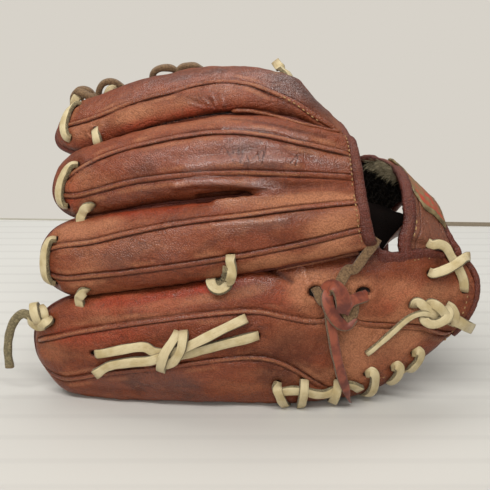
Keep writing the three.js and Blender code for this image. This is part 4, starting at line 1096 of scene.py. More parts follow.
def strap_pad(seed):
    """The fleece under the strap: a thick pile in soft clumps, nearly black with painted shade but for a
    patch at its near edge.
    """
    u, v = np.meshgrid(np.linspace(0.2, 0.94, 260), np.linspace(0.96, 0.04, 90), indexing="ij")
    top, under = strap_skin(u, v, -LEATHER - 0.4), strap_skin(u, v, -LEATHER - 0.4 - 4.0)
    clump = 0.9 * ripple(under, 4, seed) + 0.6 * ripple(under, 9, seed + 1)
    under = under + grid_normals(under, top) * np.clip(clump, -1.4, 1.6)[..., None]
    # Nearly black under the strap: painted shade; a patch at the near edge keeps the pile's pale colour.
    paint = painted(1 - 0.95 * bell(u - 0.55, 0.075) * smooth(0.2, 0.09, v))
    pad = wall_shell(top, under, np.zeros(top.shape[:-1]), paint)
    pad["paint"] = np.vstack([paint.reshape(-1, 4)] * 2)
    return pad


def fleece_tufts(seed, count=1000):
    """Short curled fibres standing out of the pad's near edge: tapering strips with three sides."""
    draw = np.random.default_rng(seed)
    u = np.clip(draw.normal(0.555, 0.04, count), 0.48, 0.64)
    v = draw.beta(0.7, 3.0, count) * 0.24 - 0.06
    depth = draw.uniform(-1.2, 5.0, count)
    root = strap_skin(u, v, -LEATHER - depth)
    out = unit(strap_skin(u, v - 0.15, -LEATHER - depth) - root)
    way = unit(out - (0, 0, 0.5) + 0.6 * unit(draw.normal(size=(count, 3))))
    curl = unit(draw.normal(size=(count, 3)))
    long = draw.uniform(2.5, 7.5, count)[:, None]
    thick = draw.uniform(0.16, 0.34, count)
    steps, turn = np.linspace(0, 1, 5), np.radians((0, 120, 240))
    side = unit(np.cross(way, curl))
    other = np.cross(way, side)
    around = side[:, None] * np.cos(turn)[None, :, None] + other[:, None] * np.sin(turn)[None, :, None]
    line = root[:, None] + way[:, None] * (long * steps)[..., None]
    line = line + curl[:, None] * (1.6 * (long / 5) * steps**2 * np.sin(2.2 * steps))[..., None]
    radius = thick[:, None] * (1 - 0.85 * steps)
    points = line[:, :, None] + around[:, None] * radius[..., None, None]
    return [bars(points, ([0, 2, 1, 0], [12, 13, 14, 12]))]


# The laces and thongs: each is a list of strips, and a strip is the name of a skin, with the x, t and
# lift of its spots on that skin, and so on; in the air a spot is x, y, z and, unless it is -y, the way
# outwards.
LACES = {
    "index_tip_lace": [["index", (-109.5, 0.67, -0.8), (-112.7, 0.625, 1.6), (-115.5, 0.559, 2.2),
        (-117.3, 0.481, 2.2), (-117.8, 0.382, 2.2), (-116.9, 0.287, 2.0), (-115, 0.218, 1.2),
        (-112.5, 0.19, -0.8)]],
    "middle_tip_lace": [["middle", (-102.5, 0.57, -0.8), (-106, 0.554, 1.6), (-109.5, 0.513, 2.2),
        (-112.7, 0.45, 2.2), (-114.1, 0.346, 2.2), (-114.1, 0.231, 2.0), (-112.6, 0.15, 1.0),
        (-109.5, 0.12, -0.8)]],
    "ring_tip_lace": [["ring", (-114, 0.69, -0.8), (-117.4, 0.673, 1.6), (-119.7, 0.602, 2.2),
        (-120.9, 0.517, 2.2), (-121.2, 0.434, 2.2), (-120.7, 0.311, 2.2), (-119, 0.2, 1.0),
        (-116, 0.16, -0.8)]],
    "thumb_tip_lace": [["thumb", (-88, 0.23, 0.0), (-93, 0.29, 2.6), (-97, 0.4, 2.5), (-97.5, 0.5, 2.5),
        (-97, 0.6, 2.5), (-93, 0.71, 2.6), (-88, 0.77, 0.0)]],
    "index_middle_lace": [["index", (-94.5, 0.236, -1.5), (-93.8, 0.186, 1.4), (-92.9, 0.137, 3.2),
        (-92.3, 0.079, 3.4), (-92.1, 0.02, 1.6), (-92, 0.0, -1.5)]],
    "middle_ring_lace": [["middle", (-92.8, 0.13, -1.8), (-94.3, 0.168, 1.2), (-96.4, 0.177, 3.2),
        (-98.5, 0.132, 3.8), "air", (-99.6, 20, 114), (-99, 21, 109), (-97.5, 25, 105.5)]],
    "ring_pinky_lace": [["ring", (-95, 0.14, -1.8), (-97, 0.185, 1.2), (-99, 0.17, 3.4), "air",
        (-100, 3, 68.5), (-99.8, 4, 63.8), (-99, 8, 59.5)]],
    "pinky_tip_knot": [
        ["pinky", (-118.6, 0.765, -1.6), (-119.5, 0.756, 1.6), (-120.5, 0.718, 4.6), "air",
         (-125.7, 4.5, 49.6, 0.2, -1, -0.1), (-129.2, 5.5, 49.9, -0.2, -1, -0.2),
         (-132.6, 8, 51.5, -0.6, -0.8, -0.2), (-134.2, 12, 53.4, -0.8, -0.5, 0)],
        ["air", (-130.3, 14, 57.6, 0, 0.5, 1), (-129.8, 10, 61.4, 0, -0.3, 1),
         (-128.8, 5.6, 61.5, -0.1, -1, 0.3), (-127.8, 3.0, 59.1, -0.1, -1, 0),
         (-126.8, 2.4, 55.7, -0.1, -1, -0.1), (-126, 3.6, 52, 0, -1, -0.3)],
        ["air", (-126.5, 9, 60.7, 0.5, -0.5, 0.7), (-124.2, 6.6, 58.9, 0.4, -0.8, 0.4),
         (-123.1, 4.8, 56.3, 0.3, -1, 0), (-124.2, 4.4, 53.1, 0, -1, -0.2)],
        ["air", (-131, 9, 53), (-136, 9.5, 55.6), (-139.4, 10, 54.6), (-142.8, 10, 51.2),
         (-146.1, 10.5, 45.2), (-148.7, 11, 37), (-149.9, 11, 28), (-150, 11.5, 17.9)],
    ],
    "ring_pinky_knot": [
        ["ring", (-8.1, 0.375, -1.2), (-8.3, 0.35, 1.6), (-7.7, 0.316, 3.0), (-7.4, 0.28, 4.5),
         (-8, 0.244, 6.0), "pinky", (-9.3, 0.824, 5.5), (-11.7, 0.8, 4.6), (-15.2, 0.792, 4.4),
         (-18.4, 0.814, 4.6), (-20, 0.864, 4.6), (-19.1, 0.955, 2.0)],
        ["ring", (-9.8, 0.31, 2.0), (-10.1, 0.268, 3.6), "pinky", (-11.5, 0.879, 3.6), (-13.8, 0.852, 2.8),
         (-16.5, 0.863, 2.4), (-18.4, 0.919, 1.6)],
    ],
    "pinky_back_lace": [
        ["pinky", (-90, 0.516, -0.8), (-88.2, 0.518, 1.3), (-83, 0.524, 1.9), (-70, 0.54, 2.1),
         (-60, 0.545, 2.4), (-54, 0.522, 2.2), (-46, 0.512, 2.0)],
        ["pinky", (-91, 0.434, 2.6), (-82, 0.478, 3.0), (-69, 0.494, 3.6), (-57, 0.498, 4.0),
         (-46, 0.508, 4.2)],
        ["pinky", (-44, 0.51, 3.6), (-36, 0.53, 4.6), (-24, 0.56, 4.6), (-12, 0.592, 4.2), (1, 0.624, 3.4)],
        ["pinky", (-44, 0.5, 2.0), (-34, 0.506, 2.0), (-24, 0.516, 1.9), (-12, 0.528, 1.9), (-1, 0.537, 1.9),
         (4, 0.541, 1.2), (7.5, 0.543, -0.6)],
        ["pinky", (-50, 0.455, 2.4), (-49.5, 0.485, 5.6), (-47, 0.52, 6.8), (-43, 0.556, 5.8),
         (-40, 0.585, 3.4), (-39, 0.6, 1.6)],
        ["pinky", (-36, 0.6, 2.0), (-36, 0.572, 5.8), (-37, 0.535, 7.4), (-40, 0.505, 6.4), (-45, 0.488, 4.6),
         (-49, 0.48, 2.4)],
    ],
    "heel_lace": [
        ["pinky", (21.8, 0.286, 1.6), (27.2, 0.299, 2.0), (35.2, 0.285, 1.8), (43.3, 0.253, 2.0),
         (50.1, 0.237, 2.0), (55.7, 0.239, 1.6)],
        ["pinky", (20, 0.33, -0.8), (19.3, 0.317, 2.0), (20.6, 0.286, 3.4), (23.3, 0.2, 2.8),
         (26.2, 0.08, 1.4)],
        ["pinky", (35.8, 0.335, -0.8), (35.6, 0.319, 2.2), (35.3, 0.286, 4.0), (34.7, 0.2, 3.6),
         (34.6, 0.08, 1.8)],
        ["pinky", (56.9, 0.285, -0.8), (56.6, 0.27, 2.2), (55.8, 0.235, 4.0), (54.8, 0.16, 3.4),
         (54.3, 0.06, 1.8)],
        ["pinky", (59.2, 0.245, 2.0), (62.7, 0.254, 3.2), (66.6, 0.222, 3.4), (71, 0.142, 2.2)],
    ],
    "heel_lace_2": [["pinky", (74.4, 0.235, -0.8), (76.8, 0.25, 1.8), (79.1, 0.204, 2.8), (79.6, 0.126, 3.2),
        (78.5, 0.045, 3.2), (75.3, 0.0, 2.4), (72, 0.0, 0.6)]],
    "heel_lace_3": [["pinky", (91, 0.15, -0.8), (93, 0.17, 1.8), (95.1, 0.123, 2.8), (94.7, 0.061, 3.2),
        (92.5, 0.018, 3.2), (89.4, 0.0, 2.4), (86.7, 0.0, 0.6)]],
    "heel_lace_4": [["pinky", (103.8, 0.18, -0.8), (105.8, 0.2, 1.8), (107.7, 0.155, 2.8), (107.3, 0.09, 3.2),
        (104.8, 0.04, 3.2), (102.6, 0.004, 2.4), (100, 0.0, 0.6)]],
    "heel_knot": [
        ["pinky", (101.3, 0.58, -1.4), (101.9, 0.626, 1.8), (104.5, 0.619, 3.0), (108.2, 0.573, 4.0),
         (112.8, 0.511, 4.6), (117.2, 0.451, 3.6)],
        ["pinky", (110.1, 0.568, 2.0), (111, 0.6, 4.0), (114.3, 0.58, 6.4), (118.1, 0.516, 7.2),
         (121, 0.438, 6.4), (122.7, 0.359, 4.0)],
        ["pinky", (108.2, 0.508, 3.0), (107.3, 0.484, 4.4), (110.9, 0.439, 6.0), (115.7, 0.422, 7.4),
         (120.5, 0.438, 8.0), (122.1, 0.478, 6.4), (120.7, 0.527, 4.0)],
        ["pinky", (121.6, 0.537, 3.0), (124.4, 0.495, 5.0), (126.8, 0.415, 5.4), (126.8, 0.345, 4.6),
         (125.4, 0.301, 2.6)],
        ["pinky", (125.8, 0.366, 4.4), (129.8, 0.296, 5.0), (135.8, 0.149, 4.6), "air",
         (144.6, 19, 41.3, 0.5, -1, 0)],
        ["pinky", (73.1, 0.395, 1.9), (77.6, 0.413, 2.6), (83.4, 0.44, 3.2), (89.2, 0.475, 3.6),
         (95, 0.516, 4.0), (100.9, 0.541, 4.4), (106.9, 0.538, 4.8), (113, 0.492, 4.4), (118.3, 0.419, 2.6)],
    ],
    "strap_lace": [
        ["hand", (111, 0.322, -2.4), (113.1, 0.319, 0.8), (117.5, 0.321, 3.0), (122.2, 0.312, 4.2), "pinky",
         (125.7, 0.95, 3.6), (128.8, 0.871, 3.0), (131.7, 0.783, 2.6), (133.6, 0.692, 2.2),
         (134.2, 0.622, 1.0), (134.6, 0.568, -1.2)],
        ["pinky", (111.5, 0.834, -0.6), (113.1, 0.831, 2.0), (117.5, 0.842, 4.4), (122.5, 0.854, 6.2),
         (127.8, 0.866, 6.8), (133.5, 0.884, 5.2), "air", (139.1, 24, 88.1, 0.7, -0.7, 0.1)],
    ],
    "web_lace_end": [["index", (28, 0.76, -1.2), (26, 0.8, 1.4), (23.5, 0.86, 3.4), "air", (21.5, 66, 200.4),
        (19.3, 69, 203.2)]],
    "web_lace_bits": [
        ["air", (-116.3, 93, 172.5), (-115, 93, 176.9), (-112.6, 94, 179.5), (-110.4, 97, 178.5)],
        ["air", (-93.2, 94, 180), (-90.7, 94, 183.8), (-87.3, 97, 183.4)],
    ],
    "thumb_heel_lace_1": [["thumb", (59, 0.7, -0.6), (60.5, 0.75, 2.0), (62, 0.84, 2.6), (64, 0.95, 1.8)]],
    "thumb_heel_lace_2": [["thumb", (75, 0.7, -0.6), (76.5, 0.75, 2.1), (78, 0.84, 2.9), (80, 0.96, 2.2)]],
    "thumb_heel_lace_3": [["thumb", (89.3, 0.7, -0.6), (90.3, 0.75, 2.1), (91, 0.84, 2.9), (92, 0.96, 2.2)]],
}
# Strips with a section of their own, by number: width and thickness in mm; and those with a rough face.
ROUND_ENDS = {"pinky_tip_knot": {3: (5.4, 3.8)}, "heel_knot": {5: (4.0, 3.0), 4: (7.0, 2.6)}}
RAW_ENDS = {"pinky_tip_knot": (3,), "ring_pinky_knot": (1,)}
# How far a strip leans over, in degrees at its start and its end; one pair for each strip.
LEANS = {
    "heel_lace_2": [(30, 10)], "heel_lace_3": [(30, 10)], "heel_lace_4": [(35, 10)],
    "index_tip_lace": [(-32, -32)], "middle_tip_lace": [(-32, -32)], "ring_tip_lace": [(-32, -32)],
    "index_middle_lace": [(-20, -20)], "ring_pinky_lace": [(-20, -20)],
    "strap_lace": [(-24, -24), (14, 6)], "heel_lace": [(32, 32), (14, 14), (10, 10), (-24, -24), (0, 0)],
    "ring_pinky_knot": [(-18, 10), (0, 0)], "middle_ring_lace": [(-20, 0)],
    "pinky_back_lace": [(8, 8), (12, 10), (14, 8), (-10, -6), (16, 16), (-14, -14)],
}

THONGS = {
    "thong": [
        # The knot's fold, over its top and down to its point.
        ["pinky", (46.7, 0.683, 2.0), (49.3, 0.7, 5.0), (52.6, 0.694, 7.0), (55.5, 0.665, 7.6),
         (57, 0.63, 7.2), (56.8, 0.592, 5.2)],
        # From the right slot into the knot.
        ["pinky", (73, 0.707, -2.4), (69, 0.69, 1.2), (65.1, 0.668, 3.4), (61.5, 0.647, 5.4),
         (59.1, 0.622, 6.0), (57.4, 0.592, 4.6)],
        # The end that points up.
        ["air", (76.4, -2.5, 108.3, 0, -1, 0.3), (73.1, -4.5, 103.8, 0, -1, 0.3),
         (68.6, -5.5, 97.4, 0, -1, 0.2), (64.1, -6, 90.9, 0, -1, 0.2), "pinky", (60.1, 0.813, 3.4),
         (56.3, 0.744, 3.8), (54.2, 0.7, 4.0)],
        # The end that hangs down, pointed at its tip.
        ["pinky", (49.4, 0.586, 3.4), (50, 0.553, 4.2), (51.3, 0.517, 4.4), (53.8, 0.46, 4.8),
         (57.3, 0.368, 5.4), (61.2, 0.255, 6.0), (65.3, 0.07, 6.2)],
        # The loop under the knot: its right side shows the flesh, its left side the face.
        ["pinky", (61.8, 0.656, 3.0), (62.7, 0.62, 3.4), (61.6, 0.587, 3.8), (58.3, 0.567, 3.8)],
        ["pinky", (63.2, 0.58, 3.2), (59.8, 0.55, 4.6), (55.4, 0.551, 5.6), (51.4, 0.575, 6.4),
         (48.5, 0.609, 6.4), (47.5, 0.646, 5.4), (48.9, 0.677, 3.4)],
        # The end in the left slot.
        ["pinky", (41, 0.73, -2.6), (42.5, 0.695, 0.2), (43.8, 0.66, 1.8), (46, 0.635, 2.2)],
    ],
}
THONG_LEANS = {"thong": [(26, 6), (-24, -6), (0, 0), (22, 22), (0, 0), (-30, -8), (0, 0)]}
# The thong's widths and thicknesses by strip, the strip that ends in a point, and those that show their
# flesh side.
THONG_SIZES = {
    0: (8.6, 2.4), 1: (7.0, 2.4), 2: (6.0, 2.6), 3: (5.8, 2.6), 4: (8.0, 2.4), 5: (7.2, 2.6), 6: (5.4, 2.2)
}
THONG_POINT = 3
THONG_FLESH = (2, 4, 6)

# The web's loops along the forefinger: the middle line of each cord, as x, y, z.
LOOPS = {
    1: [[(-117.6, 98, 172), (-117, 97, 178.6), (-113.6, 96, 182.6), (-109.6, 96, 183.6),
         (-105.6, 97, 181.8), (-103, 99, 178)],
        [(-114, 94, 183), (-109, 92, 181.2), (-104.5, 92, 178.8), (-100.1, 95, 177.4)]],
    2: [[(-100.4, 99, 175.5), (-99.4, 97, 182.4), (-96.4, 96, 187), (-92.2, 96, 188.6),
         (-87.9, 97, 187.8), (-84.3, 98, 185.2), (-80.3, 99, 182)]],
    3: [[(-62.1, 94, 189.6), (-61.3, 92, 194.4), (-57.6, 91, 197.2), (-52.7, 91, 198),
         (-48.1, 92, 197.2), (-44, 94, 193.6)]],
    4: [[(-47, 94, 193), (-42.7, 92, 197.8), (-37.7, 91, 199.2), (-33, 92, 198.8), (-28.4, 95, 196)]],
}
# The width and thickness of the loops' cords.
LOOP_SIZE = (6.4, 4.2)
# The loops along the thumb: x of each and how far it stands off the web where it comes out.
THUMB_LOOPS = ((-104, 2.4), (-86, 2.0), (-28, 1.8), (-10, 1.8))


def loop_strip(line):
    """One cord of the web's loops; its flat faces turn away from the middle of the loop."""
    middle = np.mean(line, axis=0) - (0, 0, 4)
    return ["air", *((*at, *(np.array(at) - middle)) for at in line)]


for number, lines in LOOPS.items():
    THONGS[f"web_loop_index_{number}"] = [loop_strip(line) for line in lines]
for number, (x, seat) in enumerate(THUMB_LOOPS, 1):
    thumb_x = mix(BASE_X, WEB_THUMB_TIP, (BASE_X - x) / (BASE_X - WEB_TIP))
    THONGS[f"web_loop_thumb_{number}"] = [[
        "web", (x, 0.84, -0.4), (x, 0.88, seat), (x, 0.92, 6.0),
        "thumb", (thumb_x, 0.18, 5.6), (thumb_x, 0.25, 2.6), (thumb_x, 0.29, 0.0),
    ]]


def cut_faces(run, section):
    """Paint for a strip: its cut edges and underside are 1 in the first mask, its ends in the second."""
    half = section[:, 1].max()
    side = 1 - smooth(0.78 * half, 0.92 * half, section[:, 1])
    return painted(side, bell(np.minimum(run, run[-1] - run), 2.0)[:, None])


def strips(tables, width, thickness, seed, leans=None, sizes={}, point=None, flesh=()):
    """Shells of flat strips with rounded corners, slightly uneven in width along their length.

    leans turns each strip about its line, sizes gives some strips their own section, the strip
    numbered point tapers to its end, and those in flesh show their rough side.
    """
    shells = []
    for k, spots in enumerate(map(spots_of, tables)):
        at, out = route(spots, STRIP_STEPS * len(spots))
        share = np.linspace(0, 1, len(at))
        wide, thick = sizes.get(k, (width, thickness))
        section = rounded(wide, thick, 3.0, 20) if thick > 0.6 * wide else band(wide, thick)
        uneven = (1 + 0.05 * ripple(at, 14, seed + k))[:, None] * np.ones((1, 2))
        if k == point:
            uneven[:, 0] *= 1 - 0.92 * smooth(0.76, 1, share)
        turn = mix(*(leans[k] if leans else (0, 0)), share)
        strip = sweep(at, out, section, uneven, cut_faces, turn)
        strip["points"][:, 2] = np.maximum(strip["points"][:, 2], 0.05)
        if k in flesh:
            strip["paint"][:, 0] = 1
        shells.append(strip)
    return shells


# The rolled bindings' thickness in the solids, at the hand opening and at the wrist.
RIM = 4.4
CUFF = 3.4


def strap_edge(edge, out):
    """A strip along the strap's edge, at out beyond it, from under the heel to the thumb's side."""
    u = np.linspace(-0.05, 0.88, 14)
    x = (strap_near(u) if edge == "near" else column(STRAP, edge, u)) + out
    share = column(STRAP, edge + "Share", u) + np.minimum(u, 0) * 0.5
    return ["hand", *zip(x, share)]


# The bindings, as strips without a lift.
BINDINGS = {
    "finger_binding": ["index", (54, 0.97), (58, 0.72), (60, 0.45), (61, 0.2), "middle", (62.5, 0.8),
        (63.8, 0.6), (65, 0.42), (66, 0.22), "ring", (66.8, 0.84), (67.9, 0.6), (69.6, 0.42), (71.8, 0.24),
        "pinky", (76.4, 1.0), (80.5, 0.958), (86, 0.936), (92.5, 0.934), (98.6, 0.943), (105, 0.957),
        (112, 0.972), (119, 0.975), (126, 0.99)],
    "strap_binding": strap_edge("near", -0.55 * RIM),
    "thumb_binding": ["hand", *((thumb_edge(t) + 0.8 * RIM, t) for t in np.linspace(0.57, 0.69, 7))],
    "wrist_binding": strap_edge("far", 0.7 * CUFF),
    "heel_binding": ["pinky", *((heel_end(t) + 0.7 * CUFF, t) for t in np.linspace(0.02, 1.0, 14))],
    "thumb_heel_binding": [
        "thumb",
        *((thumb_edge(mix(*SHARES["thumb"], t)) + 0.7 * CUFF, t) for t in np.linspace(0.02, 0.98, 9)),
    ],
}
# Each roll's widths at even shares of its length, the width of the rest, and the thickness of all.
ROLL_WIDTHS = {
    "finger_binding": (6.2, 6.2, 6.2, 6.4, 7.0, 8.8, 9.0, 7.0, 5.0), "thumb_binding": (7.0,),
    "strap_binding": (8.0, 8.0, 7.6, 7.0, 6.0, 5.0, 5.0, 5.0), "wrist_binding": (5.0,),
}
ROLL_WIDTH = 4.6
ROLL_THICK = 5.0
# The shares of the strap's binding between which it is worn away.
STRAP_WORN = (0.49, 0.64)


def roll_creases(run):
    """Narrow uneven creases across a roll, 0 to 1, by the distance along it."""
    wave = np.sin(run * 1.7 + 3.4 * np.sin(run * 0.41) + 2.3 * np.sin(run * 0.13))
    return smooth(0.7, 1.0, wave) * smooth(-0.6, 0.9, np.sin(run * 0.23 + 1))


def binding(strip, widths, thickness, seed, worn=None):
    """A rolled edge: an oval section, creased across and swelling a little between its stitches.

    Where it is worn away, between two shares of its length, it shrinks to a rag.
    """
    spots = [(*spot, -LEATHER / 2 + 0.3) for spot in spots_of(strip)]
    at, out = route(spots, ROLL_STEPS * len(spots))
    run = run_along(at)
    puff = 1 + 0.05 * ripple(at, 12, seed) + 0.03 * ripple(at, 3.4, seed + 1) - 0.03 * roll_creases(run)
    share = run / run[-1]
    wide = np.interp(share, np.linspace(0, 1, len(widths)), widths)
    if worn:
        start, end = worn
        rag = smooth(start - 0.03, start + 0.03, share) * smooth(end + 0.03, end - 0.03, share)
        puff *= 1 - 0.7 * rag
    size = puff[:, None] * np.stack([wide, np.full_like(wide, thickness)], axis=1)
    return sweep(at, out, rounded(1, 1, 2.4, 28), size, roll_paint)


def off_crown(section):
    """0 on a section's crown and 1 at its sides."""
    side = np.abs(section[:, 0])
    return side / side.max()


def roll_paint(run, section):
    """Paint for a rolled edge: rubbed and glossy along its crown, with painted shade at both sides and in its
    creases.
    """
    share = off_crown(section)
    wave = smooth(-0.8, 0.8, np.sin(run / 23) + 0.5 * np.sin(run / 9))
    dark = np.maximum(0.6 * smooth(0.75, 1.0, share), 0.4 * roll_creases(run)[:, None])
    return painted(dark, 0.4 * bell(share, 0.6) * wave[:, None], gloss=0.3)


def bead_paint(run, section):
    """Paint for a bead: painted shade down its sides, a little worn and glossy along its crown."""
    share = off_crown(section)
    worn = 0.5 * bell(share, 0.5) * smooth(-0.8, 0.6, np.sin(run / 17))[:, None]
    return painted(0.75 * smooth(0.7, 0.98, share), worn, gloss=0.4)


def welt(skin, rows, seed):
    """The bead over a seam: an oval bar sunk into the groove between two panels."""
    x = np.linspace(rows["x"][0], rows["x"][-1], 260)
    uneven = 0.1 * ripple(x[:, None] * (1, 0, 0), 20, seed)
    at, out = frames_on(skin, x, column(rows, "t", x), -0.75 + uneven)
    ends = smooth(0, 5, x - x[0]) * smooth(0, 5, x[-1] - x)
    size = np.stack([0.75 + 0.25 * ends, 0.3 + 0.7 * ends], axis=1)
    return sweep(at, out, rounded(3.1, 2.5, 2.4, 20), size, bead_paint)


# The bead where the middle finger's back runs in under the index finger: x, y and z.
JOINT_BEAD = [(-8, 39.5, 175.8), (-5.4, 37.4, 176.3), (-1.2, 36.7, 176.4), (3, 36.4, 176.3),
    (7.8, 36, 175.5), (12, 35.4, 174.8), (16.8, 34.0, 173.8), (20.9, 30.6, 173.2), (26.5, 26.8, 172.1),
    (32.4, 25.6, 170.7), (38.4, 25.8, 169.2), (44.5, 27, 167.6), (50.5, 27.8, 166.2), (55.8, 29.6, 165)]
# The bead where the ring finger's back meets the heel: x, y and z.
HEEL_BEAD = [(19, 1.2, 87.2), (23, 0.2, 88.3), (27.2, 0.1, 89.4), (32.4, -0.4, 90.7), (38.5, 0.9, 91.6),
    (44.4, 1.8, 92.6), (50.5, 3.0, 93.6), (56.5, 4.2, 94.7), (62.4, 4.7, 95.9), (67.2, 5.4, 96.9)]


def joint_bead(spots, widths, seed):
    """The bead along one of these joints: its width grows or thins evenly between its ends."""
    at, out = route([("air", *spot, 0, -1, 0.3) for spot in spots], 240)
    share = np.linspace(0, 1, len(at))
    wide = mix(*widths, share) * smooth(-0.02, 0.06, share) * (1 + 0.05 * ripple(at, 14, seed))
    size = np.stack([wide, np.full_like(wide, 2.4)], axis=1)
    return sweep(at, out, rounded(1, 1, 2.2, 20), size, bead_paint)


def stitches(at, out, pitch, long, thick=0.85):
    """Small oval threads laid end to end along a line, each sunk at its ends."""
    run = run_along(at)

    def on_line(places, values):
        return np.stack([np.interp(places, run, values[:, k]) for k in range(3)], axis=1)

    middles = np.arange(pitch / 2, run[-1] - pitch / 2, pitch)
    places, outs = on_line(middles, at), unit(on_line(middles, out))
    along = unit(on_line(middles + 0.5, at) - places)
    side = np.cross(along, outs)
    lengthwise = np.linspace(-1, 1, 7)
    radius = thick / 2 * np.sqrt(np.maximum(1 - lengthwise**4, 0.0))[:, None]
    turn = np.linspace(0, 2 * math.pi, 8, endpoint=False)
    bow = 0.35 * (1 - lengthwise**2)[:, None]
    return bars(
        places[:, None, None]
        + along[:, None, None] * (long / 2 * lengthwise)[None, :, None, None]
        + side[:, None, None] * (radius * np.cos(turn))[None, ..., None]
        + outs[:, None, None] * (radius * np.sin(turn) + bow)[None, ..., None]
    )


# Rows of stitches: skin, spots of x and t, and the stitches' spacing and length.
STITCH_ROWS = (
    ("ring", [(62.4, 0.97), (62.8, 0.8), (63.6, 0.6), (65.2, 0.42), (67.5, 0.25)], 3.0, 1.7),
    ("middle", [(59.5, 0.9), (60.4, 0.7), (61.2, 0.5), (61.8, 0.3), (62.2, 0.08)], 3.0, 1.7),
    ("index", [(22, 0.3), (30, 0.235), (38, 0.19), (46, 0.165)], 3.4, 1.9),
    ("hand", [(100.5, 0.325), (102.6, 0.345), (103.8, 0.37)], 4.2, 2.8),
    ("pinky", [(100, 0.92), (106, 0.934), (112, 0.948)], 2.6, 1.5),
    ("pinky", [(124, 0.06), (128, 0.12), (132, 0.22), (135.5, 0.4), (137, 0.55), (136, 0.75)], 3.4, 2.0),
    ("pinky", [(79, 0.17), (83, 0.13), (88, 0.1)], 3.0, 2.2),
)


def stitch_row(skin, spots, pitch, long):
    x, t = catmull([(x, t * 100) for x, t in spots], np.linspace(0, 1, 120)).T
    return stitches(*frames_on(skin, x, t / 100, 0.35), pitch, long)


# Colours as seen on a screen, turned into the light that they stand for.
def tone(red, green, blue):
    share = np.array([red, green, blue]) / 255
    linear = np.where(share <= 0.04045, share / 12.92, ((share + 0.055) / 1.055) ** 2.4)
    return (*linear.tolist(), 1.0)


class Nodes:
    """Short ways to add and join nodes in a material or a group."""

    def __init__(self, tree):
        self.tree = tree

    def add(self, kind, inputs=None, **settings):
        node = self.tree.nodes.new(kind)
        for key, value in settings.items():
            setattr(node, key, value)
        for key, value in (inputs or {}).items():
            self.join(node.inputs[key], value)
        return node

    def join(self, socket, value):
        if isinstance(value, bpy.types.NodeSocket):
            self.tree.links.new(value, socket)
        else:
            socket.default_value = value

    def math(self, operation, *values, clamp=False):
        node = self.add("ShaderNodeMath", dict(enumerate(values)), operation=operation, use_clamp=clamp)
        return node.outputs[0]

    def times(self, first, second, clamp=False):
        return self.math("MULTIPLY", first, second, clamp=clamp)

    def plus(self, first, second, clamp=False):
        return self.math("ADD", first, second, clamp=clamp)

    def minus(self, first, second, clamp=False):
        return self.math("SUBTRACT", first, second, clamp=clamp)

    def mix(self, share, low, high):
        node = self.add("ShaderNodeMix", data_type="RGBA", blend_type="MIX", clamp_factor=True)
        for name, value in zip(("Factor", "A", "B"), (share, low, high)):
            sockets = [s for s in node.inputs if s.name == name and s.enabled]
            self.join(sockets[0], value)
        return next(s for s in node.outputs if s.enabled)

    def noise(self, where, scale, detail=4.0, rough=0.55, distortion=0.0):
        inputs = {"Vector": where, "Scale": scale, "Detail": detail, "Roughness": rough}
        inputs["Distortion"] = distortion
        return self.add("ShaderNodeTexNoise", inputs).outputs["Fac"]

    def ramp(self, value, low, high):
        """0 at low and 1 at high, smooth between."""
        inputs = {"Value": value, "From Min": low, "From Max": high}
        node = self.add("ShaderNodeMapRange", inputs, interpolation_type="SMOOTHSTEP")
        return node.outputs["Result"]

    def where(self):
        """The object's own coordinates."""
        return self.add("ShaderNodeTexCoord").outputs["Object"]

    def masks(self):
        """The four masks of the paint, which on leather are dark, worn, stain and gloss."""
        paint = self.add("ShaderNodeAttribute", attribute_name="paint").outputs
        split = self.add("ShaderNodeSeparateColor", {"Color": paint["Color"]}).outputs
        return *split[:3], paint["Alpha"]

    def bump(self, height, strength, distance):
        inputs = {"Strength": strength, "Distance": distance, "Height": height}
        return self.add("ShaderNodeBump", inputs).outputs["Normal"]

    def surface(self, shader, colour, rough, height, strength, distance):
        """Gives a shader its colour, its roughness and the bump of a height."""
        self.join(shader["Base Color"], colour)
        self.join(shader["Roughness"], rough)
        self.join(shader["Normal"], self.bump(height, strength, distance))


def group(name, inputs, outputs):
    """A node group with named sockets: its tree helper, its input sockets and its output node."""
    tree = bpy.data.node_groups.new(name, "ShaderNodeTree")
    for title, kind, default in inputs:
        socket = tree.interface.new_socket(title, in_out="INPUT", socket_type=f"NodeSocket{kind}")
        socket.default_value = default
    for title, kind in outputs:
        tree.interface.new_socket(title, in_out="OUTPUT", socket_type=f"NodeSocket{kind}")
    n = Nodes(tree)
    return tree, n, n.add("NodeGroupInput").outputs, n.add("NodeGroupOutput").inputs


